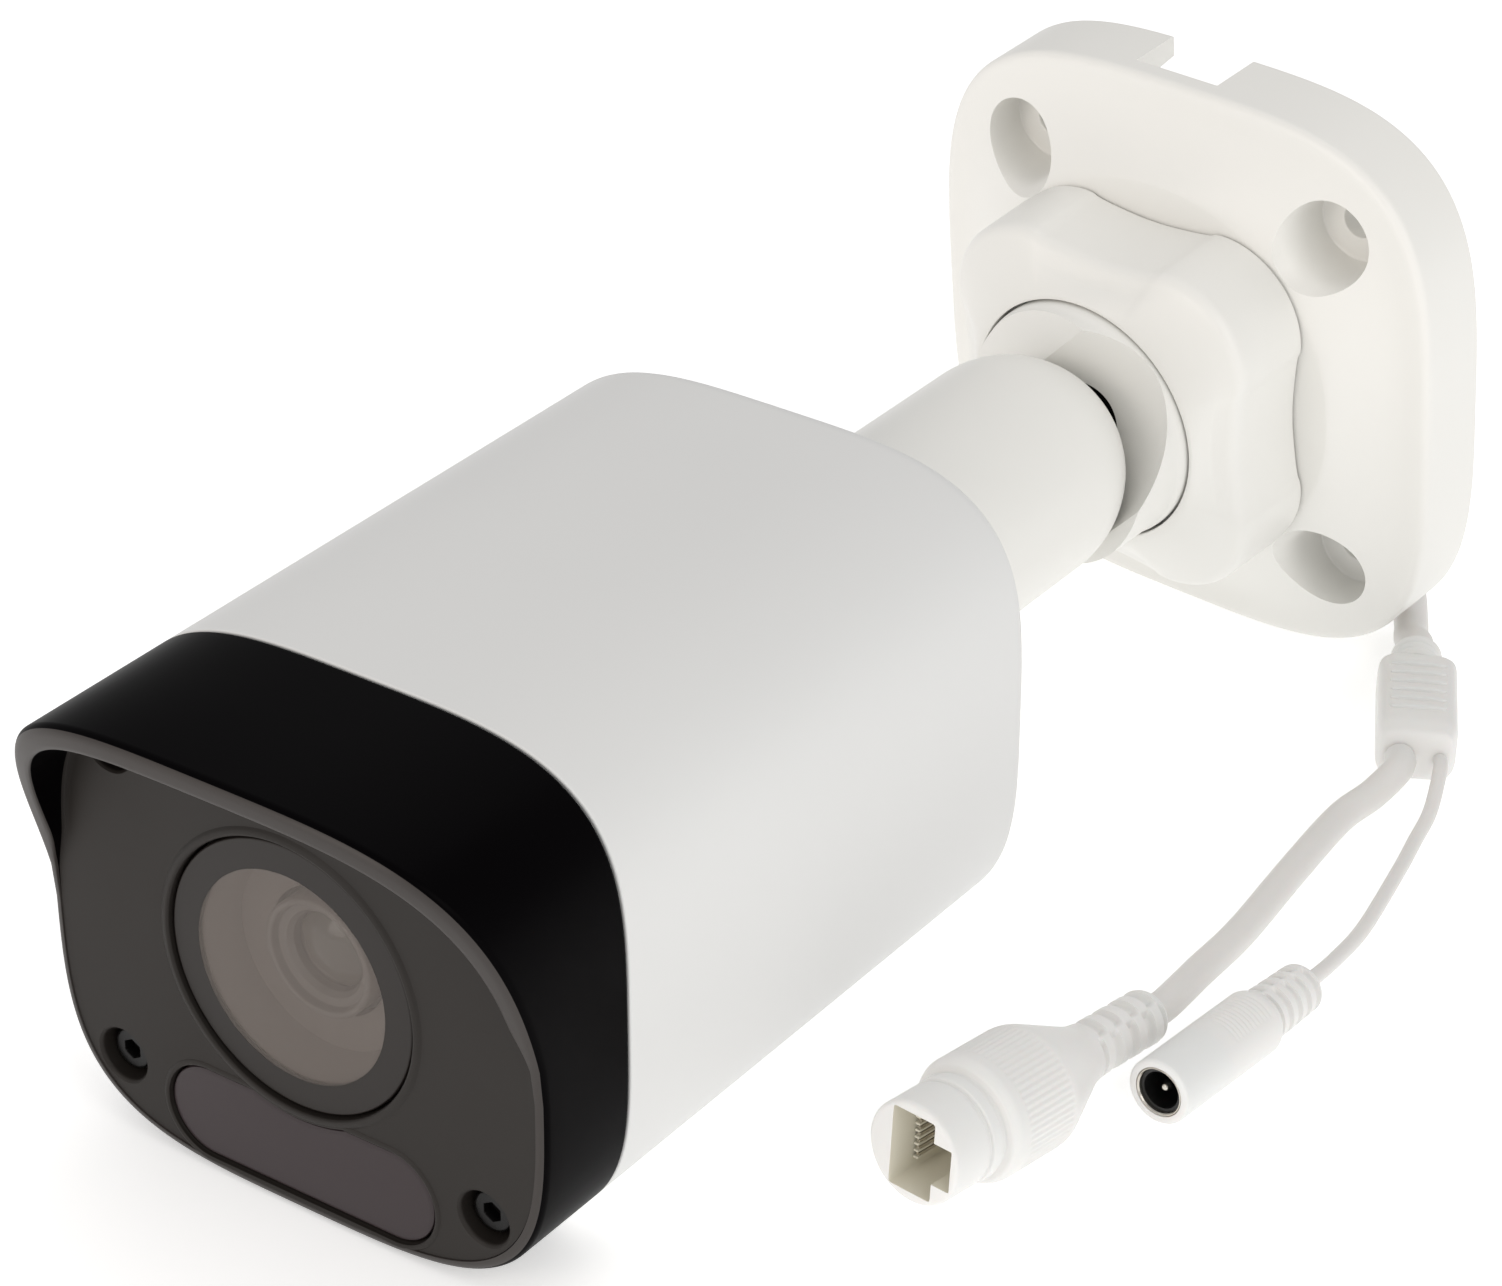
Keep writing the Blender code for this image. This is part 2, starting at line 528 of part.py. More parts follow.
# ---------------------------------------------------------------- infrared lamps and boards
led_y = CHASSIS_Y - GAP - 1.2
prism("infrared_board", stadium(38, 9.6), led_y, CHASSIS_Y - GAP, BOARD, BODY, cz=IR_Z)
for name, x in (("infrared_led_left", -11.0), ("infrared_led_right", 11.0)):
    tip = seat + 1.3
    lathe(name, [(tip, 0), (tip + 0.2, 1.2), (tip + 0.9, 2.2), (tip + 2.0, 2.5), (led_y - GAP, 2.5),
                 (led_y - GAP, 0)], EMITTER, BODY, n=16, cx=x, cz=IR_Z)
block("main_board", (MAIN_BOARD_W, BOARD_T, MAIN_BOARD_H), (0, MAIN_BOARD_Y + BOARD_T / 2, 0), BOARD, BODY)
pillar_y = CHASSIS_Y + CHASSIS_T + GAP
for name, x, z in (("board_pillar_1", -1, -1), ("board_pillar_2", 1, -1),
                   ("board_pillar_3", -1, 1), ("board_pillar_4", 1, 1)):
    lathe(name, [(pillar_y, 0), (pillar_y, PILLAR_R), (MAIN_BOARD_Y - GAP, PILLAR_R),
                 (MAIN_BOARD_Y - GAP, 0)],
          STEEL, BODY, n=6, cx=x * PILLAR_X, cz=z * PILLAR_Z, smooth=False)
block("heat_spreader", (26, 9, 26), (0, MAIN_BOARD_Y + BOARD_T + GAP + 4.5, 0), ALUMINIUM, BODY)

# ---------------------------------------------------------------- arm with its round end
shoulder = BODY_LEN + GAP
ball_r = ARM_R
turns = np.radians(np.linspace(0, math.degrees(math.acos(BORE_R / ball_r)), 6))
spigot_y = BODY_LEN - SHELL_REAR - 8.0
profile = [(spigot_y, BORE_R), (spigot_y, SPIGOT_R), (shoulder, SPIGOT_R), (shoulder, SEAL_R - 1.6),
           (shoulder + SEAL_D, SEAL_R - 1.6), (shoulder + SEAL_D, SEAL_R + 0.2),
           (shoulder, SEAL_R + 0.2), (shoulder, ARM_R - 0.4), (shoulder + 0.4, ARM_R)]
profile += [(REACH + ball_r * math.sin(a), ball_r * math.cos(a)) for a in turns]
lathe("arm", [(y - REACH, r) for y, r in profile], BASE_WHITE, ARM, n=40)
seal_y = shoulder + 0.05 - REACH
lathe("arm_seal", [(seal_y, SEAL_R - 1.3), (seal_y, SEAL_R - 0.1), (seal_y + SEAL_D - GAP, SEAL_R - 0.1),
                   (seal_y + SEAL_D - GAP, SEAL_R - 1.3)], RUBBER, ARM, n=ROUND)
nut_y = BODY_LEN - SHELL_REAR - GAP - REACH
loft("arm_nut", [at_y(circle(SPIGOT_R + GAP, 24), nut_y), at_y(circle(NUT_R, 24), nut_y),
                 at_y(circle(NUT_R, 24), nut_y - NUT_T), at_y(circle(SPIGOT_R + GAP, 24), nut_y - NUT_T)],
     STEEL, ARM, closed=True)

# ---------------------------------------------------------------- turret
cup = ball_r + SLIDE_GAP
way = BORE_R + 1.0
flange_y = RING_Y + LIP_T + SLIDE_GAP
rim = RING_Y - RIM_OUT - RIM_RISE - 1.0
sweep = np.radians(np.linspace(0, math.degrees(math.acos(way / cup)), 6))
profile = [(flange_y + FLANGE_T, way), (flange_y + FLANGE_T, FLANGE_R), (flange_y, FLANGE_R),
           (flange_y, TURRET_R - 0.1), (RING_Y - 0.6, TURRET_R - 0.1), (RING_Y - 1.2, TURRET_R - 0.5),
           (PIVOT_Y, TURRET_R - 0.8), (rim, TURRET_R - 1.1), (rim, cup)]
profile += [(PIVOT_Y + cup * math.sin(a), cup * math.cos(a)) for a in sweep]
turret = lathe("turret", profile, BASE_WHITE, BASE, n=48)
groove = lathe("cut_slot_groove", [(0, 0), (0, cup), (60, cup), (60, 0)], None,
               SLOT @ frame_matrix((0, 0, 0), rot("Z", -90)), n=40)
quadrant = block("cut_slot_way", (60, 60, 2 * cup), (30, -30, 0), None, SLOT)
slope = math.degrees(math.atan(RIM_RISE / TURRET_R))
RIM = BASE @ frame_matrix((0, RING_Y - RIM_OUT, 0), rot("Y", 45) @ rot("Z", -slope))
cut(turret, groove, quadrant, block("cut_rim", (80, 40, 80), (0, -20, 0), None, RIM))

# ---------------------------------------------------------------- lock ring
t = angles(SIDES)
wave = np.cos(4 * t)
lobed = (RING_LOBE + RING_DIP) / 2 - (RING_LOBE - RING_DIP) / 2 * np.sign(wave) * abs(wave) ** 0.75


def lobes(offset, y):
    return at_y(np.stack([(lobed + offset) * np.cos(t), (lobed + offset) * np.sin(t)], 1), y)


opening = TURRET_R + SLIDE_GAP
cavity = FLANGE_R + SLIDE_GAP
seat_y = -(PLATE_T + PAD_H)
loft("lock_ring", [
    lobes(-0.6, seat_y - GAP), lobes(0, seat_y - GAP - 0.6), lobes(0, RING_Y + RING_SWELL + 1.2),
    lobes(-0.5, RING_Y + RING_SWELL), lobes(-2.0, RING_Y + RING_SWELL - 1.4),
    at_y(circle(opening + 1.6), RING_Y + 0.1), at_y(circle(opening + 0.5), RING_Y),
    at_y(circle(opening), RING_Y + 0.5), at_y(circle(opening), RING_Y + LIP_T),
    at_y(circle(cavity), RING_Y + LIP_T), at_y(circle(cavity), seat_y - GAP)], BASE_WHITE, BASE, closed=True)

# ---------------------------------------------------------------- base plate
boss_y = flange_y + FLANGE_T + GAP


def blend(share, radius, scale):
    """An outline between the plate's own and a circle."""
    ring = superellipse(PLATE_W / 2, PLATE_H / 2, PLATE_POWER) * scale
    return ring * (1 - share) + circle(radius) * share


plate = loft("base_plate", [
    plate_ring(1, 1, 0.0), plate_ring(1, 1, -PLATE_T + PLATE_FILLET),
    plate_ring(0.986, 0.986, -PLATE_T + 0.65), plate_ring(0.95, 0.95, -PLATE_T - PAD_H * 0.03),
    plate_ring(0.87, 0.87, -PLATE_T - PAD_H * 0.30),
    at_y(blend(0.5, PAD_R + 7, 0.80), -PLATE_T - PAD_H * 0.68),
    at_y(circle(PAD_R + 4), -PLATE_T - PAD_H * 0.93), at_y(circle(PAD_R), seat_y),
    at_y(circle(FLANGE_R), seat_y), at_y(circle(FLANGE_R), boss_y),
    at_y(circle(CABLE_HOLE_R), boss_y), at_y(circle(CABLE_HOLE_R), -PLATE_SKIN - 6.0),
    at_y(circle(CABLE_HOLE_R + 10), -PLATE_T + PLATE_SKIN),
    plate_inside(PLATE_WALL + 1.0, -PLATE_T + PLATE_SKIN), plate_inside(PLATE_WALL, 0.0)],
    BASE_WHITE, BASE, closed=True)
top_y = -PLATE_T - PAD_H * 0.45
MOUNTS = [(sx * HOLE_AT, sz * HOLE_AT) for sx in (-1, 1) for sz in (-1, 1)]
for i, (x, z) in enumerate(MOUNTS):
    post = lathe("post_%d" % i, [(-POST_IN, 0), (-POST_IN, POST_R), (-PLATE_T + PLATE_SKIN - 2.0, POST_R),
                                 (-PLATE_T + PLATE_SKIN - 2.0, 0)], None, BASE, n=24, cx=x, cz=z)
    join = plate.modifiers.new("post %d" % i, "BOOLEAN")
    join.operation, join.solver, join.object = "UNION", "EXACT", post
    post.hide_render, post.display_type = True, "WIRE"
floor_y = top_y + CBORE_D
bores = [lathe("cut_mount_%d" % i, [(top_y - 8, 0), (top_y - 8, CBORE_R + 1.0),
                                    (top_y - 0.2, CBORE_R + 1.0), (top_y + 1.2, CBORE_R), (floor_y, CBORE_R),
                                    (floor_y, HOLE_R), (3, HOLE_R), (3, 0)],
               None, BASE, n=20, cx=x, cz=z) for i, (x, z) in enumerate(MOUNTS)]
notch = block("cut_notch", (NOTCH_W, 2 * (PLATE_T - NOTCH_SKIN), 20), (NOTCH_X, 0, PLATE_H / 2), None, BASE)
cut(plate, *bores, notch)

# ---------------------------------------------------------------- lead
gland_y = -PLATE_T + PLATE_SKIN - 6.0
gland_end = gland_y + GLAND_NOSE
lathe("cable_gland", [(gland_y - GLAND_L, 0), (gland_y - GLAND_L, CABLE_HOLE_R - GAP - 0.5),
                      (gland_y - GLAND_L + 0.5, CABLE_HOLE_R - GAP), (gland_y, CABLE_HOLE_R - GAP),
                      (gland_y + 0.8, CABLE_HOLE_R - 1.8), (gland_end - 0.6, 4.2), (gland_end, 3.6),
                      (gland_end, 0)], RUBBER, BASE, n=24)
exit_at = BASE_AT + base_rot @ Vector((0, gland_end + GAP, 0))


def by_plate(point):
    """A lead point, given from under the plate's middle, in table millimetres."""
    return tuple(Vector(point) + Vector((BASE_AT.x, BASE_AT.y, 0)))


JACK = along(by_plate(JACK_FROM), by_plate(JACK_TO)) @ rot("Y", JACK_ROLL).to_4x4()
jack_len = (Vector(JACK_TO) - Vector(JACK_FROM)).length
collar = 10.0
jack = lathe("ethernet_housing", [
    (0, 0), (0, JACK_R - 0.3), (0.3, JACK_R), (collar - 2.6, JACK_R), (collar - 2.4, JACK_R - 0.35),
    (collar - 1.9, JACK_R - 0.35), (collar - 1.7, JACK_R + 0.1), (collar, JACK_R + 0.3),
    (collar + 0.6, SLEEVE_R - 0.5), (collar + 1.4, SLEEVE_R), (collar + 13.0, SLEEVE_R),
    (collar + 22.5, BOOT_R + 0.7), (jack_len - 1.4, BOOT_R), (jack_len - CORD_GAP, BOOT_R - 0.7),
    (jack_len - CORD_GAP, 0)], MOULD, JACK, n=24)
socket = block("cut_socket", (11.7, 28, PLUG_H), (0, 0, PLUG_FLOOR + PLUG_H / 2), None, JACK)
latch = block("cut_latch", (6.2, 28, 4.6), (0, 0, 3.9), None, JACK)
cut(jack, socket, latch)
block("ethernet_contacts", (9.2, 9.0, CONTACT_H), (0, 9.2, PLUG_FLOOR + GAP + CONTACT_H / 2), BRASS, JACK)
DC = along(by_plate(DC_FROM), by_plate(DC_TO))
dc_len = (Vector(DC_TO) - Vector(DC_FROM)).length
dc_end = dc_len - CORD_GAP
dc = lathe("power_housing", [(0, 0), (0, DC_R - 0.4), (0.4, DC_R), (DC_L, DC_R),
                             (DC_L + 0.8, DC_BOOT_R + 0.3), (DC_L + 2, DC_BOOT_R),
                             (dc_end - 0.7, DC_BOOT_R - 0.1), (dc_end, DC_BOOT_R - 0.6), (dc_end, 0)],
           MOULD, DC, n=20)
bore = DC_BORE_R + 0.5 + GAP
cut(dc, lathe("cut_dc", [(-2, 0), (-2, bore), (11, bore), (11, 0)], None, DC, n=20))
lathe("power_sleeve", [(0.3, DC_BORE_R), (0.3, DC_BORE_R + 0.5), (10.7, DC_BORE_R + 0.5), (10.7, DC_BORE_R)],
      BRASS, DC, n=20)
lathe("power_pin", [(1.6, 0), (2.0, DC_PIN_R * 0.7), (2.6, DC_PIN_R), (10.7, DC_PIN_R), (10.7, 0)],
      BRASS, DC, n=12)
SPLIT = along(by_plate(SPLIT_FROM), by_plate(SPLIT_TO))
neck = 7.0
split_len = (Vector(SPLIT_TO) - Vector(SPLIT_FROM)).length


def rounded(width, height, power=5.0, n=24):
    return superellipse(width / 2, height / 2, power, n)


loft("splitter", [
    at_y(circle(3.3, 24), CORD_GAP), at_y(circle(3.9, 24), 1.2), at_y(circle(4.0, 24), neck - 1.2),
    at_y(rounded(SPLIT_W - 3, SPLIT_H - 2), neck), at_y(rounded(SPLIT_W, SPLIT_H), neck + 1.8),
    at_y(rounded(SPLIT_W, SPLIT_H), split_len - 4.0),
    at_y(rounded(SPLIT_W - 0.6, SPLIT_H - 1.0), split_len - 1.2),
    at_y(rounded(SPLIT_W - 2.0, SPLIT_H - 2.8), split_len - CORD_GAP)], MOULD, SPLIT)


def local(frame, x, y, z=0.0):
    """A point of a frame, in table millimetres."""
    return tuple(frame @ (Vector((x, y, z)) * MM) / MM)


main_pts = [exit_at] + [by_plate(p) for p in MAIN_ROUTE]
main_pts += [local(SPLIT, 0, -STRAIGHT), local(SPLIT, 0, 0)]
net_pts = [local(SPLIT, NET_EXIT, split_len), local(SPLIT, NET_EXIT, split_len + STRAIGHT)]
net_pts += [by_plate(p) for p in NET_ROUTE]
net_pts += [local(JACK, 0, jack_len + STRAIGHT), local(JACK, 0, jack_len)]
power_pts = [local(SPLIT, POWER_EXIT, split_len), local(SPLIT, POWER_EXIT, split_len + STRAIGHT)]
power_pts += [by_plate(p) for p in POWER_ROUTE] + [local(DC, 0, dc_len + STRAIGHT), local(DC, 0, dc_len)]
tube("cable_main", smooth_route(main_pts, 12.0), MAIN_D, PVC, TABLE, 3)
tube("cable_ethernet", smooth_route(net_pts, 9.0), NET_D, PVC, TABLE, 3)
tube("cable_power", smooth_route(power_pts, 6.0), POWER_D, PVC, TABLE, 2)

# ---------------------------------------------------------------- names, origin and joints
CORDS = ("cable_main", "cable_ethernet", "cable_power", "splitter", "ethernet_housing", "ethernet_contacts",
         "power_housing", "power_sleeve", "power_pin")
bpy.context.view_layer.update()
graph = bpy.context.evaluated_depsgraph_get()
low_corner, high_corner = np.full(3, 1e9), np.full(3, -1e9)
for obj in bpy.data.objects:
    if obj.hide_render or obj.name in CORDS:
        continue
    shown = obj.evaluated_get(graph)
    co = np.empty(len(shown.data.vertices) * 3)
    shown.data.vertices.foreach_get("co", co)
    world = points_in(obj.matrix_world, co.reshape(-1, 3) / MM)
    low_corner, high_corner = np.minimum(low_corner, world.min(0)), np.maximum(high_corner, world.max(0))
shift = Vector((-(low_corner[0] + high_corner[0]) / 2, -(low_corner[1] + high_corner[1]) / 2, -low_corner[2]))
for obj in bpy.data.objects:
    obj.matrix_world = Matrix.Translation(shift) @ obj.matrix_world

pivot_world = Vector(PIVOT_AT) * MM + shift
base_normal = (base_rot @ Vector((0, -1, 0))).normalized()
arm_axis = (body_rot @ Vector((0, -1, 0))).normalized()
tilt_axis = base_normal.cross(arm_axis).normalized()
ROUTES = {"cable_main": main_pts, "cable_ethernet": net_pts, "cable_power": power_pts}
for name, pts in ROUTES.items():
    print(name, [[round(float(v) + s / MM, 2) for v, s in zip(p, shift)] for p in pts])
print("shift", [round(v, 6) for v in shift], "nose", round(NOSE, 4))
print("pivot", [round(v, 6) for v in pivot_world])
print("base normal", [round(v, 6) for v in base_normal], "arm axis", [round(v, 6) for v in arm_axis])
print("tilt axis", [round(v, 6) for v in tilt_axis], "tilt at rest", round(TILT_AT_REST, 3),
      "slot", round(SLOT_TURN, 2))
print("body x axis", [round(v, 6) for v in body_rot @ Vector((1, 0, 0))])
rim_at = (base_rot @ Vector(((PLATE_W - PLATE_WALL) / 2, 0, 0)) + BASE_AT) * MM + shift
print("wall rim", [round(v, 6) for v in rim_at], "hole centre",
      [round(v, 6) for v in BASE_AT * MM + shift])
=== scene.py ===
# %% [markdown]
# # A bullet security camera on its wall bracket
#
# The camera lies on a table with its lead beside it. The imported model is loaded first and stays
# fixed; every visible piece is then made again with finer surfaces in the same place, and each
# one moves with the body it belongs to.

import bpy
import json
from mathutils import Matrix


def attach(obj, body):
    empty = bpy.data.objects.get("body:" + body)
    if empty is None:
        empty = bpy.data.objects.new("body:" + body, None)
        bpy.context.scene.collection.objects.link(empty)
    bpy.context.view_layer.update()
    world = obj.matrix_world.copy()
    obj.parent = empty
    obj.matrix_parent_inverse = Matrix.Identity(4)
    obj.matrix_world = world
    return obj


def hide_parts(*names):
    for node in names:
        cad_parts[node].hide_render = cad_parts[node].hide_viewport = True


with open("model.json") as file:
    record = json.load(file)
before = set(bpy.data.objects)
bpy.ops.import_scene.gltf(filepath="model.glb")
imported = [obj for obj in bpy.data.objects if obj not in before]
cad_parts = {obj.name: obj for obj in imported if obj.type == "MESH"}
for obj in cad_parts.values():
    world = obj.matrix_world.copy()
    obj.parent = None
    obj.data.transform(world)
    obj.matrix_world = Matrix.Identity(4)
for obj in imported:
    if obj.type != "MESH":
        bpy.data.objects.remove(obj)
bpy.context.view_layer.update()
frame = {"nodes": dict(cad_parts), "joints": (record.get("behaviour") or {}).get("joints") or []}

import json

import bmesh
import bpy
import numpy as np
from mathutils import Matrix, Vector

# %% [markdown]
# ## Frames
#
# The bracket and the camera body lean at different angles. Both are tied to the pivot, where the
# pan axis and the arm's axis meet, so their frames come from the joints. In each one +Y runs
# backwards, away from the viewer of the lens, and lengths are in millimetres.

# %% Frames of the base, the body and the lead's fittings
joints = {joint["name"]: joint for joint in frame["joints"]}


def axes_along(y):
    """Three unit columns: y as given, x level and square to it, z as near upright as it can be."""
    y = np.asarray(y, float) / np.linalg.norm(y)
    x = np.cross(y, (0, 0, 1))
    x /= np.linalg.norm(x)
    return np.stack([x, y, np.cross(x, y)], 1)


def from_to(start, end, quarter=False):
    """A frame at start with +Y to end. quarter=True turns it a quarter about its own axis."""
    axes = axes_along(np.subtract(end, start))
    if quarter:
        axes = axes[:, [2, 1, 0]] * (-1, 1, 1)
    return np.array(start, float), axes


PIVOT = np.array(joints["pan"]["pos_m"]) * 1000
BASE_AXES = axes_along(-np.array(joints["pan"]["axis"]))
BODY_AXES = axes_along(-np.array(joints["roll"]["axis"]))
# The plate's depth, the lock ring's height, ring to pivot, and pivot to the camera's face.
PLATE_T, RING_H, PIVOT_OUT, REACH = 13.1, 24.6, 18.3, 163.7
BASE = (PIVOT + BASE_AXES[:, 1] * (PLATE_T + RING_H + PIVOT_OUT), BASE_AXES)
ARM = (PIVOT, BODY_AXES)
BODY = (PIVOT - BODY_AXES[:, 1] * REACH, BODY_AXES)
# Each fitting's two ends along its own axis: the network socket, the power socket, the splitter.
JACK_FROM, JACK_TO = (57.58, -59.55, 9.0), (63.18, -9.85, 6.4)
DC_FROM, DC_TO = (72.68, -23.85, 4.95), (75.08, 11.15, 4.6)
SPLIT_FROM, SPLIT_TO = (43.58, 100.85, 5.6), (58.88, 72.55, 5.6)
JACK = from_to(JACK_FROM, JACK_TO, quarter=True)
DC = from_to(DC_FROM, DC_TO)
SPLIT = from_to(SPLIT_FROM, SPLIT_TO)
print("pivot", PIVOT.round(2), "front face", BODY[0].round(2), "plate back", BASE[0].round(2))

# %% [markdown]
# ## Camera
#
# A long lens from the front right and above, so that the front face, the long side and the
# bracket show together. The camera's three axes are given as directions.

# %% Camera
eye = bpy.data.cameras.new("view")
eye.lens, eye.sensor_width, eye.sensor_fit = 109.93, 36.0, "HORIZONTAL"
eye.clip_start, eye.clip_end = 0.01, 20
RIGHT, UP, BACK = ((0.812826, 0.582318, 0.014824), (-0.293775, 0.387824, 0.873664),
                   (0.503001, -0.714492, 0.486304))
viewer = bpy.data.objects.new("viewer", eye)
viewer.matrix_world = (Matrix.Translation((0.31532, -0.46328, 0.34929))
                       @ Matrix((RIGHT, UP, BACK)).transposed().to_4x4())
bpy.context.scene.collection.objects.link(viewer)
bpy.context.scene.camera = viewer
print("camera stands at", [round(v, 3) for v in viewer.location])

# %% [markdown]
# ## Colours and materials
#
# One function turns the sRGB hex value of a paint chip into the linear numbers a shader wants,
# and one adds a node. Object coordinates are in metres, so a pattern that repeats every p
# millimetres has a scale of 1000 / p.


# %% Colour and node helpers
def linear(hex_value):
    """sRGB hex to linear RGBA: each channel is divided by 12.92 when dark, else raised to 2.4."""
    c = np.array([int(hex_value[i:i + 2], 16) for i in (1, 3, 5)]) / 255
    c = np.where(c <= 0.04045, c / 12.92, ((c + 0.055) / 1.055) ** 2.4)
    return (*c, 1.0)


def per_mm(period):
    return 1000.0 / period


def add(tree, kind, inputs=(), **settings):
    """A node with its settings; each input is a value or another node's output."""
    node = tree.nodes.new(kind)
    for key, value in settings.items():
        setattr(node, key, value)
    for key, value in dict(inputs).items():
        if isinstance(value, bpy.types.NodeSocket):
            tree.links.new(value, node.inputs[key])
        else:
            node.inputs[key].default_value = value
    return node


def finish_of(name, **sockets):
    """A material whose Principled shader has these constants, with its tree and shader."""
    mat = bpy.data.materials.new(name)
    mat.use_nodes = True
    shader = mat.node_tree.nodes["Principled BSDF"]
    for key, value in sockets.items():
        shader.inputs[key.replace("_", " ")].default_value = value
    return mat, mat.node_tree, shader


# %% [markdown]
# ### Surface textures
#
# Powder coat, moulded plastic and soft PVC differ in the same three things: how much the colour
# drifts, how much the gloss drifts and how fine and deep the surface relief is. Each material
# below builds those from noise on Object coordinates. The orange peel and the waves of a jacket
# have their real size. The grain of moulded plastic and plated metal is finer on a real part, and
# is drawn a third to a half of a millimetre wide, because less would not show.


# %% Texture of a surface
def textured(mat, tree, shader, dark, light, drift_mm, relief, rough):
    """Colour between dark and light over drift_mm, relief as (period mm, depth mm) pairs added
    up as height, and roughness between the two given values."""
    place = add(tree, "ShaderNodeTexCoord").outputs["Object"]
    drift = add(tree, "ShaderNodeTexNoise", {"Vector": place, "Scale": per_mm(drift_mm), "Detail": 3.0})
    tint = add(tree, "ShaderNodeMix", {"Factor": drift.outputs["Fac"]}, data_type="RGBA")
    tint.inputs["A"].default_value, tint.inputs["B"].default_value = linear(dark), linear(light)
    tree.links.new(tint.outputs["Result"], shader.inputs["Base Color"])
    gloss = add(tree, "ShaderNodeMapRange", {"Value": drift.outputs["Fac"], "From Min": 0.3,
                                             "From Max": 0.7, "To Min": rough[0], "To Max": rough[1]})
    tree.links.new(gloss.outputs["Result"], shader.inputs["Roughness"])
    normal = None
    for period, depth in relief:
        grain = add(tree, "ShaderNodeTexNoise", {"Vector": place, "Scale": per_mm(period), "Detail": 2.0})
        bump = add(tree, "ShaderNodeBump", {"Height": grain.outputs["Fac"], "Distance": depth / 1000,
                                            "Strength": 1.0})
        if normal:
            tree.links.new(normal, bump.inputs["Normal"])
        normal = bump.outputs["Normal"]
    tree.links.new(normal, shader.inputs["Normal"])
    return mat


# %% [markdown]
# ### The finishes
#
# Polyester powder coat on cast aluminium: satin, with a shallow orange peel about a millimetre
# wide. Polycarbonate: near black, satin on the outside and spark-eroded matt on the face. PVC:
# soft white, slightly waxy.

# %% Painted metal and moulded plastics
# An even grey white whose fine orange peel softens every highlight.
shell_paint = textured(*finish_of("satin white powder coat on the shell", Specular_IOR_Level=0.3),
                       "#DCDCDB", "#E0E0DF", 60, [(1.1, 0.004), (0.35, 0.0015)], (0.40, 0.47))
# Warmer and brighter than the shell, so the bracket reads as castings of its own.
base_paint = textured(*finish_of("white powder coat on cast aluminium", Specular_IOR_Level=0.45),
                      "#E9E8E4", "#EDECE8", 45, [(1.3, 0.006), (0.35, 0.002)], (0.36, 0.44))
# Deep black with only a faint sheen on the corners.
black_band = textured(*finish_of("satin black polycarbonate", Specular_IOR_Level=0.02),
                      "#030203", "#050405", 30, [(0.5, 0.002)], (0.36, 0.42))
# Brown black and a little lighter than the band, so the face reads as a second finish.
black_face = textured(*finish_of("spark eroded black polycarbonate", Specular_IOR_Level=0.25),
                      "#211D1A", "#26221F", 25, [(0.45, 0.005), (0.2, 0.002)], (0.50, 0.58))
# A painted highlight: a lighter colour on the hood's rounded edge, smoother too, draws the outline of the
# hood.
rim_painted_highlight = textured(*finish_of("hood edge with painted highlight", Specular_IOR_Level=0.4),
                     "#2D2826", "#342F2C", 20, [(0.45, 0.003)], (0.42, 0.50))
# A slightly grey, waxy white with the long shallow waves of a bent jacket.
cable_pvc = textured(*finish_of("white PVC cable jacket", Specular_IOR_Level=0.4, Subsurface_Weight=0.03),
                     "#DBD9D7", "#E1DFDC", 18, [(2.5, 0.02), (0.3, 0.002)], (0.42, 0.52))
# Cleaner than the jackets, so the fittings stand apart from the cables.
mould_pvc = textured(*finish_of("white moulded PVC", Specular_IOR_Level=0.4, Subsurface_Weight=0.04),
                     "#E4E3E1", "#E9E8E6", 16, [(0.6, 0.004)], (0.40, 0.50))
# A yellow cast that tells the socket's insert from its housing.
ivory = textured(*finish_of("ivory nylon jack insert", Specular_IOR_Level=0.4),
                 "#E2DECF", "#E8E4D6", 12, [(0.5, 0.003)], (0.42, 0.5))
# Flat black with almost no highlight.
rubber = textured(*finish_of("black EPDM rubber", Specular_IOR_Level=0.35),
                  "#121212", "#191919", 10, [(0.3, 0.004)], (0.7, 0.8))
# A little lighter and harder than the rubber beside it.
nylon = textured(*finish_of("black glass filled nylon", Specular_IOR_Level=0.35),
                 "#141414", "#1C1B1B", 8, [(0.3, 0.004)], (0.55, 0.65))
# A smooth dark ring that frames the clear glass.
black_print = textured(*finish_of("black enamel printed behind glass", Specular_IOR_Level=0.3),
                       "#1E1916", "#221D1A", 30, [(0.6, 0.001)], (0.40, 0.46))
# A dark wine tint, smoother than the face round it.
infrared = textured(*finish_of("infrared passing acrylic", Specular_IOR_Level=0.35),
                    "#2C2225", "#302628", 30, [(2.5, 0.004)], (0.34, 0.40))

# %% [markdown]
# ### Metals, glass and boards
#
# Plated and machined metals get their look from colour and roughness alone. The panes are thin
# and clear, so they are drawn with partial opacity: light passes straight through them, which
# needs far fewer light paths than glass that bends it.

# %% Metals, glass and boards
# Small warm glints inside the two sockets.
nickel = textured(*finish_of("nickel plated brass", Metallic=1.0),
                  "#C6C1B8", "#D2CDC4", 6, [(0.3, 0.001)], (0.16, 0.26))
# Cool grey metal with the soft shine of plating.
zinc = textured(*finish_of("zinc plated steel", Metallic=1.0),
                "#9FA0A3", "#B3B4B6", 5, [(0.3, 0.002)], (0.28, 0.4))
# Small dark glints deep in the holes.
black_screw = textured(*finish_of("black oxide steel screw", Metallic=0.5),
                       "#0B0A0A", "#121111", 4, [(0.3, 0.002)], (0.24, 0.34))
# Painted pale as a highlight on an anodised barrel, so it shows as a light ring behind the glass.
barrel_painted_highlight = textured(*finish_of("anodised barrel painted pale as a highlight", Metallic=0.2),
                       "#8E8782", "#98918B", 5, [(0.3, 0.002)], (0.32, 0.42))
# Bright bare metal.
aluminium = textured(*finish_of("machined aluminium", Metallic=1.0),
                     "#B9BABC", "#C8C9CA", 8, [(0.4, 0.002)], (0.3, 0.4))
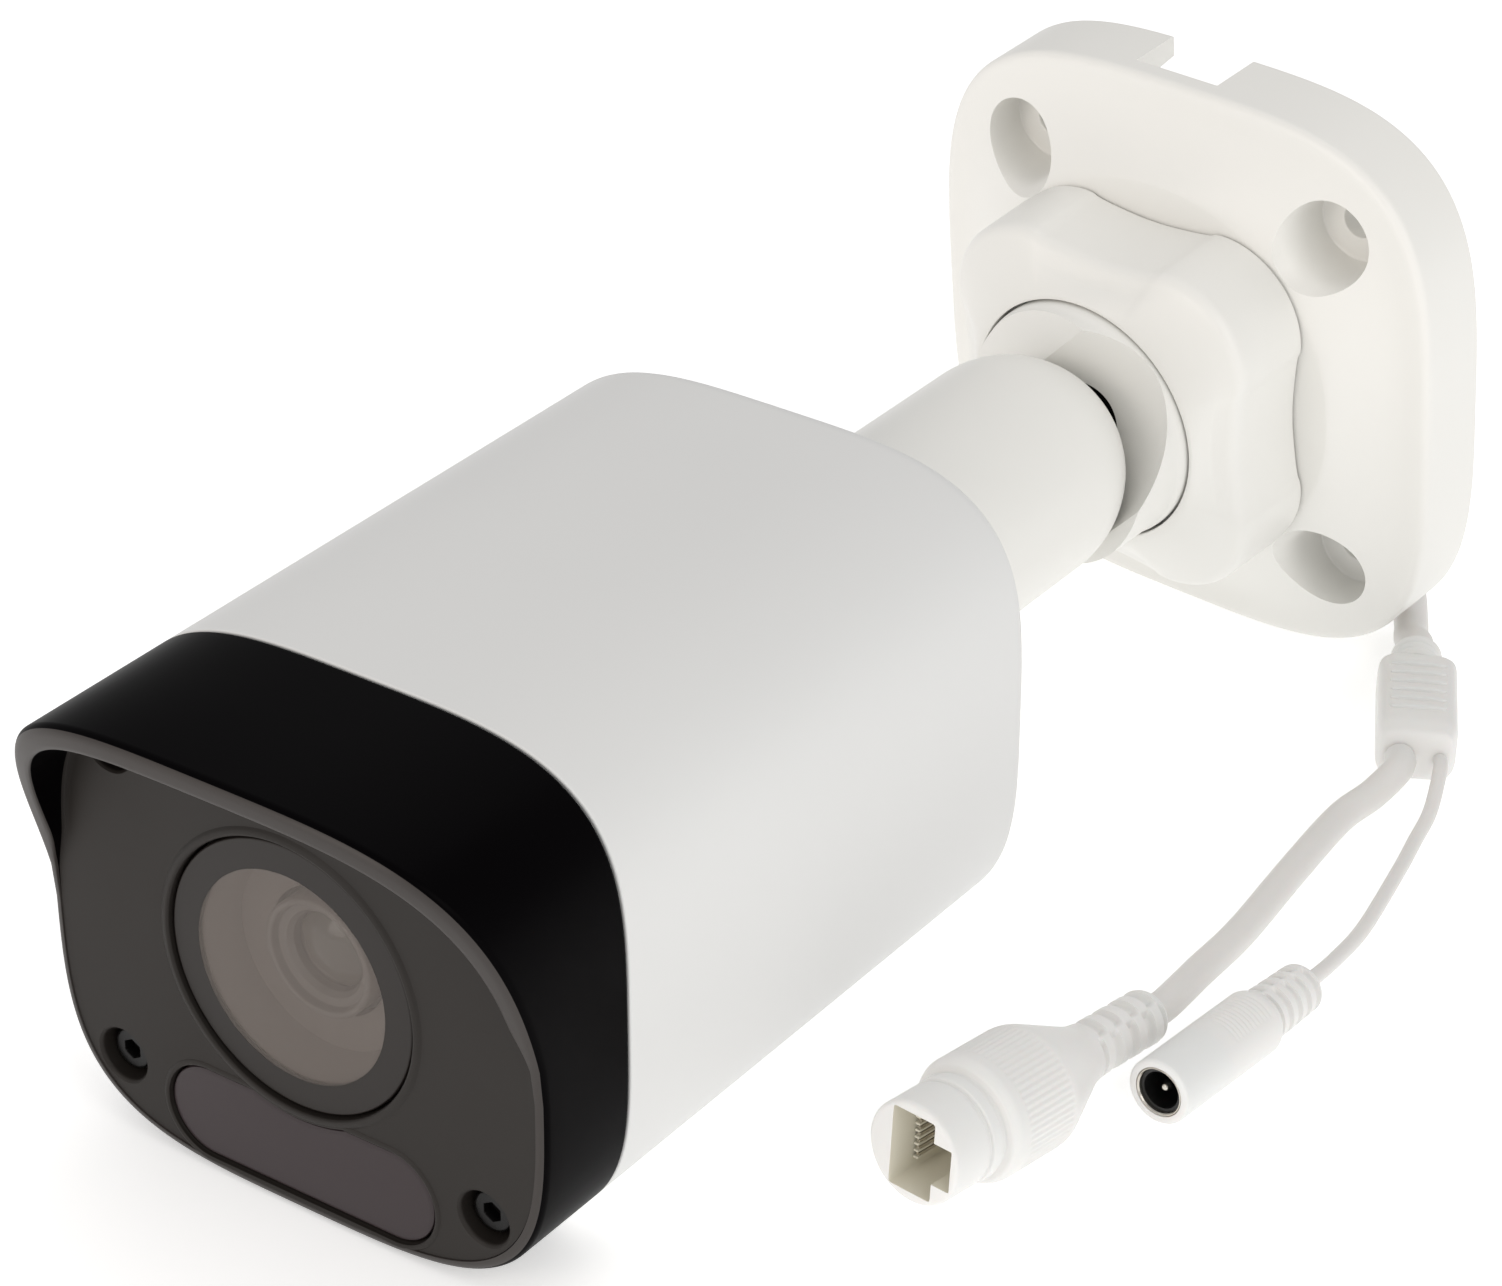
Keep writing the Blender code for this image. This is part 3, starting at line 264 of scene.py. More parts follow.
# Dark, smooth and a little blue.
silicon = textured(*finish_of("silicon and ceramic", Metallic=0.1),
                   "#1B1C20", "#2A2C33", 4, [(0.3, 0.001)], (0.15, 0.3))
# Green and slightly uneven, as mask over copper is.
board = textured(*finish_of("green solder mask on glass epoxy"),
                 "#0F4A26", "#17612F", 3, [(0.8, 0.02)], (0.35, 0.5))
# A faint green coating that one can see through.
filter_glass = textured(*finish_of("coated filter glass", Alpha=0.6, Coat_Weight=0.5),
                        "#5E8C84", "#6E9C90", 6, [(2.0, 0.0005)], (0.05, 0.1))
# Clear and pale, as a cast lamp.
epoxy = textured(*finish_of("clear epoxy lamp", Alpha=0.7),
                 "#B9BCC4", "#C6C9D0", 3, [(1.5, 0.002)], (0.08, 0.14))
# A thin veil that lowers the contrast of what lies behind it.
haze_glass = textured(*finish_of("tempered window glass with haze", Alpha=0.36, Specular_IOR_Level=0.35),
                      "#756D68", "#7B736D", 40, [(14.0, 0.01)], (0.12, 0.16))
# Painted grey: the shield is dark, and its grey stands in for light scattered back by the hazy
# window glass, so the window does not look like a black hole.
shield_painted_grey = textured(*finish_of("light shield painted grey for light from the window glass", Specular_IOR_Level=0.3),
                         "#978E88", "#9D948E", 20, [(1.5, 0.004)], (0.55, 0.65))
# A polished dome that carries the smallest and sharpest highlight.
lens_glass = textured(*finish_of("coated front lens", Coat_Weight=1.0, Coat_Roughness=0.02),
                      "#69645C", "#746F66", 5, [(30.0, 0.001)], (0.10, 0.14))
# Blackness round the centre pin.
dark_bore = textured(*finish_of("black socket insulator"),
                     "#0B0B0B", "#121212", 3, [(0.3, 0.003)], (0.4, 0.5))
print("materials", len(bpy.data.materials))

# %% [markdown]
# ## Surfaces from grids
#
# Nearly every piece is an outline in the x-z plane carried along y. The outline changes from row
# to row, so a piece is a grid of points: rows along y, columns round the outline. The faces join
# each point to its neighbours, the last column to the first, and the ends close on a middle point
# or, for a ring, the last row joins the first.


# %% Grid to mesh
def put_mesh(name, points, quads, tris, materials, body, index=None, crease=34):
    """A mesh object at the origin from metre points, with its faces turned outwards."""
    mesh = bpy.data.meshes.new(name)
    mesh.from_pydata(points.tolist(), [], quads.tolist() + tris.tolist())
    for mat in materials:
        mesh.materials.append(mat)
    if index is not None:
        mesh.polygons.foreach_set("material_index", index.astype(np.int32))
    shape = bmesh.new()
    shape.from_mesh(mesh)
    bmesh.ops.recalc_face_normals(shape, faces=shape.faces)
    shape.to_mesh(mesh)
    shape.free()
    smooth(mesh, crease)
    piece = bpy.data.objects.new(name, mesh)
    bpy.context.scene.collection.objects.link(piece)
    if body:
        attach(piece, body)
    return piece


def smooth(mesh, crease):
    mesh.polygons.foreach_set("use_smooth", np.ones(len(mesh.polygons), bool))
    mesh.set_sharp_from_angle(angle=np.radians(crease))


def grid(name, rows, place, materials, body, ring=False, bands=None, crease=34):
    """Rows of equal length, each an (n, 3) array in the frame's millimetres. bands gives the
    material index of each strip between two rows."""
    rows = np.asarray(rows, float)
    m, n = rows.shape[:2]
    origin, axes = place
    points = (origin + rows.reshape(-1, 3) @ axes.T) / 1000
    i, k = np.meshgrid(np.arange(m if ring else m - 1), np.arange(n), indexing="ij")
    i2, k2 = (i + 1) % m, (k + 1) % n
    quads = np.stack([i * n + k, i * n + k2, i2 * n + k2, i2 * n + k], -1).reshape(-1, 4)
    index = None if bands is None else np.repeat(np.asarray(bands), n)
    tris = np.zeros((0, 3), int)
    if not ring:
        if index is not None:
            index = np.concatenate([index, np.repeat([bands[0], bands[-1]], n)])
        ends = (origin + np.stack([rows[0].mean(0), rows[-1].mean(0)]) @ axes.T) / 1000
        k, last = np.arange(n), (m - 1) * n
        first_fan = np.stack([(k + 1) % n, k, np.full(n, m * n)], 1)
        last_fan = np.stack([last + k, last + (k + 1) % n, np.full(n, m * n + 1)], 1)
        points, tris = np.vstack([points, ends]), np.vstack([first_fan, last_fan])
    piece = put_mesh(name, points, quads, tris, materials, body, index, crease)
    print(name, len(piece.data.polygons), "faces")
    return piece


# %% [markdown]
# ### Outlines and rounded profiles
#
# A superellipse is |x/a|^p + |z/b|^p = 1: p of 2 is an ellipse and a larger p is squarer. A
# profile is a short list of corners, and each corner is replaced by an arc, because no moulded
# or cast edge is truly sharp.


# %% Outlines and profiles
def turn(n):
    return (np.arange(n) + 0.5) * 2 * np.pi / n


def superellipse(a, b, power, n=288):
    """x = a sgn(cos t)|cos t|^(2/p), z = b sgn(sin t)|sin t|^(2/p)."""
    c, s = np.cos(turn(n)), np.sin(turn(n))
    return np.stack([a * np.sign(c) * abs(c) ** (2 / power), b * np.sign(s) * abs(s) ** (2 / power)], 1)


def circle(r, n=288):
    return superellipse(r, r, 2, n)


def at(outline, y, cx=0.0, cz=0.0):
    """An x-z outline at depth y, which is one value or one per point."""
    return np.stack([outline[:, 0] + cx, np.broadcast_to(y, len(outline)), outline[:, 1] + cz], 1)


def rounded(corners, steps=6):
    """Corners are (u, v) or (u, v, radius). Each radius becomes an arc that touches both sides,
    drawn as a quadratic curve through the corner's two touching points."""
    out = []
    pts = [np.array(c[:2], float) for c in corners]
    for i, c in enumerate(corners):
        if len(c) < 3 or i in (0, len(corners) - 1):
            out.append(pts[i])
            continue
        back, on = pts[i - 1] - pts[i], pts[i + 1] - pts[i]
        reach = min(c[2], 0.48 * np.linalg.norm(back), 0.48 * np.linalg.norm(on))
        a = pts[i] + back / np.linalg.norm(back) * reach
        b = pts[i] + on / np.linalg.norm(on) * reach
        t = np.linspace(0, 1, steps + 1)[:, None]
        guard = 0.04 * reach
        out += [a + back / np.linalg.norm(back) * guard]
        out += list((1 - t) ** 2 * a + 2 * t * (1 - t) * pts[i] + t ** 2 * b)
        out += [b + on / np.linalg.norm(on) * guard]
    return np.array(out)


def even_steps(profile, step):
    """The profile with each stretch along y cut into as many even parts of a step or more as fit."""
    parts = np.maximum(1, (np.diff(profile[:, 0]) / step).astype(int))
    cut = [np.column_stack([np.linspace(a[0], b[0], k + 1)[:-1], np.linspace(a[1], b[1], k + 1)[:-1]])
           for a, b, k in zip(profile[:-1], profile[1:], parts)]
    return np.vstack(cut + [profile[-1:]])


def revolve(name, corners, place, materials, body, n=96, cx=0.0, cz=0.0, ring=False, steps=5, crease=34):
    """A (y, r) profile turned about the frame's Y axis."""
    profile = rounded(corners, steps)
    rows = [at(circle(max(r, 1e-4), n), y, cx, cz) for y, r in profile]
    return grid(name, rows, place, materials, body, ring=ring, crease=crease)


def carve(piece, cutters, join=(), crease=34):
    """Joins and cuts by exact Booleans, keeps the result as the piece's mesh and drops the tools."""
    for tool, action in [(t, "UNION") for t in join] + [(t, "DIFFERENCE") for t in cutters]:
        mod = piece.modifiers.new(action.lower(), "BOOLEAN")
        mod.operation, mod.solver, mod.object = action, "EXACT", tool
    bpy.context.view_layer.update()
    shown = piece.evaluated_get(bpy.context.evaluated_depsgraph_get())
    mesh = bpy.data.meshes.new_from_object(shown)
    piece.modifiers.clear()
    old, piece.data = piece.data, mesh
    bpy.data.meshes.remove(old)
    smooth(mesh, crease)
    for tool in list(join) + list(cutters):
        bpy.data.objects.remove(tool)
    print(piece.name, "carved to", len(mesh.polygons), "faces")
    return piece


# %% [markdown]
# ## The lead
#
# A main cable leaves the plate's gland, drops to the table behind the plate and meets a splitter.
# Two tails go on to the network and power sockets. Each cable is a circle carried along a smooth
# curve through a few points, and the curve's own length is the cable's length.


# %% Cable routes
MAIN = [(-0.39, 102.69, 45.55), (1.28, 118.65, 45.2), (4.78, 127.65, 37.5), (11.78, 133.15, 23.5),
        (20.28, 132.95, 9.5), (29.28, 124.65, 3.2), (36.28, 113.15, 3.0), (39.48, 106.95, 4.2),
        (42.15, 103.49, 5.6), (43.58, 100.85, 5.6)]
NET = [(56.68, 71.36, 5.6), (58.11, 68.72, 5.6), (57.18, 62.75, 3.6), (55.88, 55.15, 2.6),
       (57.58, 38.45, 2.6), (59.88, 19.85, 2.6), (61.18, 6.35, 3.7), (63.51, -6.87, 6.24),
       (63.18, -9.85, 6.4)]
POWER = [(61.96, 74.21, 5.6), (63.38, 71.57, 5.6), (65.68, 64.75, 2.8), (66.88, 58.15, 1.5),
         (69.08, 48.75, 1.4), (72.48, 32.45, 1.5), (74.28, 21.15, 3.1), (75.28, 14.14, 4.57),
         (75.08, 11.15, 4.6)]


def smooth_route(points, spacing=1.6):
    """A Catmull-Rom curve: between two points, a cubic whose slope at each is half the step from
    the point before it to the point after it; then evenly spaced by length."""
    p = np.array(points, float)
    p = np.vstack([2 * p[0] - p[1], p, 2 * p[-1] - p[-2]])
    a, b, c, d = (p[i:len(p) - 3 + i, None] for i in range(4))
    t = np.linspace(0, 1, 24, endpoint=False)[None, :, None]
    fine = 0.5 * (2 * b + (c - a) * t + (2 * a - 5 * b + 4 * c - d) * t ** 2
                  + (3 * b - a - 3 * c + d) * t ** 3)
    fine = np.vstack([fine.reshape(-1, 3), p[-2]])
    s = np.append(0, np.cumsum(np.linalg.norm(np.diff(fine, axis=0), axis=1)))
    want = np.linspace(0, s[-1], int(s[-1] / spacing) + 2)
    return np.stack([np.interp(want, s, fine[:, k]) for k in range(3)], 1), s[-1]


def cable(name, points, diameter, n=28):
    """A circle of the cable's radius in the plane square to the route, its start direction kept
    level so that it doesn't twist."""
    path, length = smooth_route(points)
    ahead = np.gradient(path, axis=0)
    ahead /= np.linalg.norm(ahead, axis=1)[:, None]
    side = np.cross(ahead, (0.12, 0.05, 1.0))
    side /= np.linalg.norm(side, axis=1)[:, None]
    top = np.cross(side, ahead)
    a = turn(n)[None, :, None]
    rows = path[:, None] + diameter / 2 * (np.cos(a) * side[:, None] + np.sin(a) * top[:, None])
    piece = grid(name, rows, (np.zeros(3), np.eye(3)), [cable_pvc], "base")
    return piece, path / 1000, length / 1000


# %% Three cables
main_cable, main_path, main_len = cable("main_cable_jacket", MAIN, 5.4)
net_cable, net_path, net_len = cable("network_cable_jacket", NET, 4.6)
power_cable, power_path, power_len = cable("power_cable_jacket", POWER, 2.2)
for piece, node in ((main_cable, "cable_main"), (net_cable, "cable_ethernet"),
                    (power_cable, "cable_power")):
    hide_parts(node)
print("cable lengths in mm", [round(v * 1000, 1) for v in (main_len, net_len, power_len)])

# %% [markdown]
# ### Splitter
#
# A soft PVC block moulded over the joint. Its neck takes the main cable, and the neck's rings are a
# small rise and fall of its radius. Short grip ribs lie across the block's top and its underside.

# %% Splitter
length = float(np.linalg.norm(np.subtract(SPLIT_TO, SPLIT_FROM)))
rows = [at(circle(2.9, 128), 0.5), at(circle(3.3, 128), 0.55)]
for y in np.linspace(0.9, 6.3, 34):
    rows.append(at(circle(3.6 + 0.32 * np.sin((y - 0.9) * 2 * np.pi / 1.8) * (y < 6.0), 128), y))
for y, w in rounded([(6.5, 4.0), (7.4, 5.2, 0.4), (9.2, 6.0, 0.8), (length - 3.4, 6.0, 1.0),
                     (length - 0.9, 5.3, 0.6), (length - 0.5, 3.6)], 5):
    rows.append(at(superellipse(w, 4.8 * min(1.0, w / 6.0) ** 1.2, 5.0, 128), y))
splitter = grid("splitter_block", rows, SPLIT, [mould_pvc], "base", crease=40)
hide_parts("splitter")
RIB_SHAPE = ((-0.55, 0.4), (-0.45, 0.85), (-0.15, 1.0), (0.15, 1.0), (0.45, 0.85), (0.55, 0.4))
for i, y0 in enumerate(np.linspace(12.0, length - 7.0, 6)):
    for side in (-1, 1):
        arch = [at(superellipse(4.2 * q, 0.55 * q, 2.6, 40), y0 + d, 0, side * 4.75)
                for d, q in RIB_SHAPE]
        name = "splitter_rib_%d_%s" % (i, "top" if side > 0 else "under")
        rib = grid(name, arch, SPLIT, [mould_pvc], "base")

# %% [markdown]
# ### Network socket
#
# The round housing has a smooth front, a thin groove, a step for a sealing ring, a grip sleeve
# with fine lengthwise ribs, a cone, and a ribbed boot whose grooves alternate side to side so that
# it bends. The radius is a function of the distance along it and the angle round it.

# %% Network socket housing
length = float(np.linalg.norm(np.subtract(JACK_TO, JACK_FROM)))
profile = rounded([(0.0, 5.2), (0.0, 7.35, 0.7), (6.5, 7.35, 0.25), (6.7, 6.95, 0.15), (7.3, 6.95, 0.15),
                   (7.5, 7.45, 0.25), (9.2, 7.45, 0.3), (9.4, 7.1, 0.2), (10.0, 7.1, 0.25),
                   (10.3, 8.2, 0.3), (11.4, 8.85, 0.8), (23.0, 8.85, 1.2), (33.2, 4.35, 1.5),
                   (36.0, 3.95, 1.0), (length - 1.6, 3.9, 0.8), (length - 0.5, 3.0)], 5)
profile = even_steps(profile, 0.16)
a = turn(240)
y, r = profile[:, 0][:, None], profile[:, 1][:, None]
on_sleeve = np.clip((y - 13.0) / 0.5, 0, 1) * np.clip((22.4 - y) / 0.5, 0, 1)
lengthwise = 0.13 * on_sleeve * (np.clip(np.sin(60 * a)[None, :] * 1.6, -1, 1) - 1) / 2
boot = np.clip((y - 34.6) / 0.4, 0, 1) * np.clip((length - 1.6 - y) / 0.4, 0, 1)
phase = np.sign(np.sin(a + 0.6))[None, :] * np.pi / 2
soften = np.clip(abs(np.sin(a + 0.6)) * 4, 0, 1)[None, :]
across = -1.15 * boot * soften * np.clip(np.sin((y - 34.6) * 2 * np.pi / 3.5 + phase), 0, 1) ** 0.4
radius = r + lengthwise + across
rows = np.stack([radius * np.cos(a), np.broadcast_to(y, radius.shape), radius * np.sin(a)], -1)
jack = grid("network_socket_housing", rows, JACK, [mould_pvc, ivory], "base", crease=40)
print("sleeve radius", round(float(radius.max()), 2), "length", round(length, 1))


# %% [markdown]
# The opening is a standard eight-contact socket: a box for the plug, a notch for its latch, and
# eight plated springs along one wall, with thin ivory walls between them.


# %% Socket opening and contacts
def bar_solid(name, half, centre, place, materials, body, power=10.0, n=48):
    """A bar with soft corners: superellipses of a high power along y, smaller at each end."""
    (hx, hy, hz), (cx, cy, cz) = half, centre
    ends = ((-1.0, 0.90), (-0.985, 0.97), (-0.95, 1.0), (0.95, 1.0), (0.985, 0.97), (1.0, 0.90))
    rows = [at(superellipse(hx * q, hz * q, power, n), cy + hy * t, cx, cz) for t, q in ends]
    return grid(name, rows, place, materials, body)


plug_way = bar_solid("tool", (5.85, 14.0, 3.45), (0, 0, -0.15), JACK, [ivory], None, power=24)
latch_way = bar_solid("tool", (3.1, 14.0, 2.3), (0, 0, 3.9), JACK, [ivory], None, power=24)
carve(jack, [plug_way, latch_way], crease=40)
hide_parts("ethernet_housing")
PITCH = 1.02
for i in range(8):
    spring = bar_solid("contact_%d" % i, (0.2, 4.4, 0.3), (-3.57 + PITCH * i, 9.2, -2.95), JACK,
                       [nickel], "base")
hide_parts("ethernet_contacts")
inlay = [bar_solid("contact_wall_%d" % i, (0.16, 4.6, 0.4), (-4.08 + PITCH * i, 9.2, -3.1), JACK,
                   [ivory], "base") for i in range(9)]

# %% [markdown]
# ### Power socket
#
# A smooth barrel with a field of fine ribs on its rear half, a ringed boot, a nickel sleeve in a
# black bore and a centre pin.

# %% Power socket
length = float(np.linalg.norm(np.subtract(DC_TO, DC_FROM)))
outer = even_steps(rounded([(0.0, 3.75), (0.0, 4.75, 0.5), (22.4, 4.75, 0.8), (23.4, 3.95, 0.5),
                            (length - 1.2, 3.6, 0.5), (length - 0.5, 2.4)], 5), 0.15)
a = turn(160)
y, r = outer[:, 0][:, None], outer[:, 1][:, None]
field = np.clip((y - 12.6) / 0.3, 0, 1) * np.clip((21.4 - y) / 0.3, 0, 1)
sides = np.clip((abs(np.sin(a)) - 0.62) * 12, 0, 1)[None, :]
fine = -0.11 * field * sides * (1 + np.sin(y * 2 * np.pi / 0.8)) / 2
ringed = np.clip((y - 23.6) / 0.3, 0, 1) * np.clip((length - 1.5 - y) / 0.3, 0, 1)
stagger = np.sign(np.cos(a))[None, :] * np.pi / 2
rings = -0.85 * ringed * np.clip(abs(np.cos(a)) * 4, 0, 1)[None, :] * np.clip(
    np.sin((y - 23.6) * 2 * np.pi / 2.3 + stagger), 0, 1) ** 0.45
radius = r + fine + rings
rows = np.stack([radius * np.cos(a), np.broadcast_to(y, radius.shape), radius * np.sin(a)], -1)
way = [at(circle(r0, 160), y0) for y0, r0 in ((0.05, 3.62), (11.0, 3.62), (11.0, 0.02))]
shell_rows = np.concatenate([rows[::-1], np.array(way)])
power = grid("power_socket_housing", shell_rows, DC, [mould_pvc], "base", crease=40)
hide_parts("power_housing")
sleeve = revolve("power_sleeve_ring", [(0.25, 3.2), (0.0, 3.4, 0.1), (0.25, 3.6, 0.1), (10.6, 3.6),
                                       (10.6, 3.2)], DC, [nickel], "base", ring=True)
lining = revolve("power_socket_lining", [(0.7, 3.16), (10.5, 3.16), (10.5, 2.7), (0.7, 2.7)], DC,
                 [dark_bore], "base", ring=True)
pin = revolve("power_centre_pin", [(1.3, 0.05), (1.4, 0.45, 0.2), (2.2, 0.85, 0.3), (10.6, 0.85),
                                   (10.7, 0.05)], DC, [nickel], "base", n=32)
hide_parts("power_sleeve")
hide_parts("power_pin")

# %% [markdown]
# ## Camera body
#
# The shell is an extruded tube of superellipse section, 80 mm wide, with a rounded rear edge and
# a hole for the arm. It stands a hair behind the black bezel, which leaves a fine dark line.

# %% Shell
BODY_W, BODY_H, POWER_N, BAND, BODY_LEN = 80.0, 71.2, 3.67, 17.1, 106.8


def section(inset, n=288):
    return superellipse(BODY_W / 2 - inset, BODY_H / 2 - inset, POWER_N, n)


profile = rounded([(2.4, BAND + 0.3), (0.0, BAND, 0.45), (0.0, BODY_LEN, 2.8), (24.0, BODY_LEN)], 8)
profile[0] = (2.4, BAND)
rows = [at(section(d), y) for d, y in profile]
rows += [at(circle(18.3), BODY_LEN), at(circle(9.5), BODY_LEN), at(circle(9.5), BODY_LEN - 3.0)]
rows += [at(section(4.0), BODY_LEN - 3.0), at(section(2.4), BODY_LEN - 5.0)]
shell = grid("shell_skin", rows, BODY, [shell_paint], "camera", ring=True)
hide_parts("body_shell")

# %% [markdown]
# ### Bezel and hood
#
# One black moulding: a band round the front, a flat face set back under a hood, and holes for two
# windows and four screws. The hood stands out most at the top and fades away below the middle,
# so the depth of the front edge is a function of the height of each point of the outline.

# %% Bezel rows
HOOD_OUT, HOOD_WALL, EDGE_R, N = 12.5, 3.0, 1.4, 360
outline = section(0, N)
front = -HOOD_OUT * np.clip(outline[:, 1] / (BODY_H / 2), 0, 1) ** 1.25 - 0.2
lift = np.clip(-front / 3.0, 0, 1)
ease = lift * lift * (3 - 2 * lift)
wall = EDGE_R + 0.1 + (HOOD_WALL - EDGE_R) * ease


def inset_by(d):
    """The section with each point moved in by its own distance, d, on both half axes."""
    unit = superellipse(1, 1, POWER_N, N)
    return unit * np.stack([BODY_W / 2 - d, BODY_H / 2 - d], 1)


BAND_BLACK, FACE_BLACK, RIM_PAINTED_HIGHLIGHT = 0, 1, 2
rows = [at(inset_by(wall + 1.2), 0.0), at(inset_by(wall + 0.5 * ease + 0.05), 0.0),
        at(inset_by(wall + 0.15 * ease + 0.02), -0.12 * ease), at(inset_by(wall), -0.5 * ease)]
bands = [FACE_BLACK] * 3
for share in (0.5, 1.0):
    depth = front * share + 0.45 * share - 0.5 * ease * (1 - share)
    rows.append(at(inset_by(wall - 0.05 * share), depth))
    bands.append(BAND_BLACK)
# The rows of the hood's front edge take the lighter colour, a painted highlight.
for d, y in ((0.12, 0.22), (0.35, 0.06), (0.7, 0.0)):
    rows.append(at(inset_by(wall - 0.05 - d * (0.15 + 0.85 * ease)), front + y))
    bands.append(RIM_PAINTED_HIGHLIGHT)
for angle in np.radians(np.linspace(0, 90, 11)):
    drop = EDGE_R * (1 - np.sin(angle)) * np.ones(N)
    rows.append(at(inset_by(drop), front + EDGE_R * (1 - np.cos(angle))))
    bands.append(RIM_PAINTED_HIGHLIGHT if angle < np.radians(50) else BAND_BLACK)
for d, y in rounded([(0.0, 4.0), (0.0, 16.8, 0.45), (2.4, 16.8), (2.4, 6.0)], 5):
    rows.append(at(section(d, N), np.maximum(y, front + EDGE_R + 0.2) if y < 16 else y))
    bands.append(BAND_BLACK)
bands = np.array(bands[:len(rows) - 1])
bezel = grid("bezel_with_hood", rows, BODY, [black_band, black_face, rim_painted_highlight], "camera",
             bands=bands, crease=45)

# %% [markdown]
# ### Openings in the face
#
# The tools that cut the face flare a little where they leave it, which leaves a soft moulded lip.
# The infrared window is a slot with round ends whose top is bitten by the lens ring.

# %% Outlines of the two windows
WINDOW_R, WINDOW_Z, IR_W, IR_H, IR_Z = 19.45, 0.25, 43.4, 13.3, -26.6


def bitten_slot(grow, bite, n=480):
    """Round ended slot, walked at an even pace, with every point inside the bite circle moved
    down to that circle."""
    r, flat = IR_H / 2 + grow, IR_W - IR_H
    s = np.linspace(0, 2 * flat + 2 * np.pi * r, n, endpoint=False)
    a1 = np.pi / 2 - (s - flat) / r
    a2 = -np.pi / 2 - (s - 2 * flat - np.pi * r) / r
    parts = [s < flat, s < flat + np.pi * r, s < 2 * flat + np.pi * r]
    x = np.select(parts, [s - flat / 2, flat / 2 + r * np.cos(a1), flat / 2 - (s - flat - np.pi * r)],
                  -flat / 2 + r * np.cos(a2))
    z = np.select(parts, [r + 0 * s, r * np.sin(a1), -r + 0 * s], r * np.sin(a2)) + IR_Z - WINDOW_Z
    inside = np.hypot(x, z) < bite
    z = np.where(inside, -np.sqrt(np.maximum(bite ** 2 - x ** 2, 0)), z)
    return np.stack([x, z + WINDOW_Z], 1)[::-1]


# The slot stops short of the lens hole by its clearance of 0.3 mm and a lip of 1.5 mm.
BITE = WINDOW_R + 0.3 + 1.5
lens_tool = revolve("tool", [(-18, 0.02), (-18, 20.6), (-0.5, 20.6), (0.45, 19.8, 0.3), (3.3, 19.75),
                             (3.3, 17.75), (10, 17.75), (10, 0.02)],
                    BODY, [black_face], None, n=240, cz=WINDOW_Z)
ir_tool = grid("tool", [at(bitten_slot(0.8, BITE - 0.5), -4), at(bitten_slot(0.8, BITE - 0.5), -0.15),
                        at(bitten_slot(0.42, BITE - 0.12), 0.2), at(bitten_slot(0.3, BITE), 0.5),
                        at(bitten_slot(0.3, BITE), 3.3)], BODY, [black_face], None)
ir_way = grid("tool", [at(bitten_slot(-2.0, BITE + 2.3), 3.0), at(bitten_slot(-2.0, BITE + 2.3), 9.0)],
              BODY, [black_face], None)
SCREWS = [(s * x, z) for x, z in ((29.8, -23.6), (28.0, 24.4)) for s in (-1, 1)]
# The lower two open with a wide flare. The upper two start at the face and leave the hood whole.
lower_mouth = [(-3, 0.02), (-3, 4.7), (-0.2, 4.45), (0.35, 3.8, 0.3)]
upper_mouth = [(-0.02, 0.02), (-0.02, 4.1), (0.35, 3.8, 0.2)]
seat = [(4.4, 3.75), (4.4, 1.8), (9, 1.8), (9, 0.02)]
screw_tools = [revolve("tool", mouth + seat, BODY, [black_face], None, n=64, cx=x, cz=z)
               for mouth, pair in ((lower_mouth, SCREWS[:2]), (upper_mouth, SCREWS[2:])) for x, z in pair]
carve(bezel, [lens_tool, ir_tool, ir_way] + screw_tools, crease=28)
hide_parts("front_bezel")

# %% [markdown]
# ### Lips round the windows
#
# The face rises in a low rounded lip round each window. A lip is a small hump carried round the
# window's outline with its foot sunk in the face. Its crown stands proud by about 0.4 mm round
# the lens and 0.2 mm round the infrared window.

# %% Lips
lens_lip = revolve("lens_lip", [(0.5, 19.76), (-0.1, 19.78, 0.15), (-0.42, 20.05, 0.3),
                                (-0.34, 20.6, 0.4), (0.12, 21.3, 0.2), (0.5, 21.2)],
                   BODY, [black_face], "camera", n=240, cz=WINDOW_Z, ring=True)
hump = ((0.34, 0.5), (0.36, -0.06), (0.5, -0.18), (0.7, -0.22), (0.9, -0.18), (1.15, -0.04),
        (1.3, 0.12), (1.2, 0.5))
ir_lip = grid("infrared_lip", [at(bitten_slot(g, BITE + 0.3 - g), y) for g, y in hump], BODY,
              [black_face], "camera", ring=True)

# %% [markdown]
# ### Windows and lens
#
# The front glass is clear in the middle, slightly hazy, with a black enamel border printed behind
# it. Through it the lens barrel shows as a pale ring, a painted highlight, inside the funnel of the
# light shield, whose grey is painted light from the glass.

# %% Lens window
CLEAR_R = 15.1
clear = revolve("window_glass_disc", [(0.3, 0.02), (0.3, CLEAR_R), (0.9, CLEAR_R), (0.9, 0.02)], BODY,
                [haze_glass], "camera", n=192, cz=WINDOW_Z)
border = revolve("window_printed_border", [(0.9, CLEAR_R), (0.3, 15.12), (0.3, 19.3, 0.4),
                                           (0.75, WINDOW_R), (3.0, WINDOW_R), (3.0, 17.0), (1.0, 17.0)],
                 BODY, [black_print], "camera", n=192, cz=WINDOW_Z, ring=True)
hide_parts("lens_window")

# %% Lens barrel, front lens and light shield
# The shield's grey is painted light, standing in for light scattered back by the window glass.
cone = revolve("shield_cone", [(1.2, 15.2), (1.2, 16.8), (9.6, 16.8), (9.6, 9.2), (7.6, 9.2),
                               (7.2, 14.0)],
               BODY, [shield_painted_grey], "camera", n=128, cz=WINDOW_Z, ring=True)
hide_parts("light_shield")
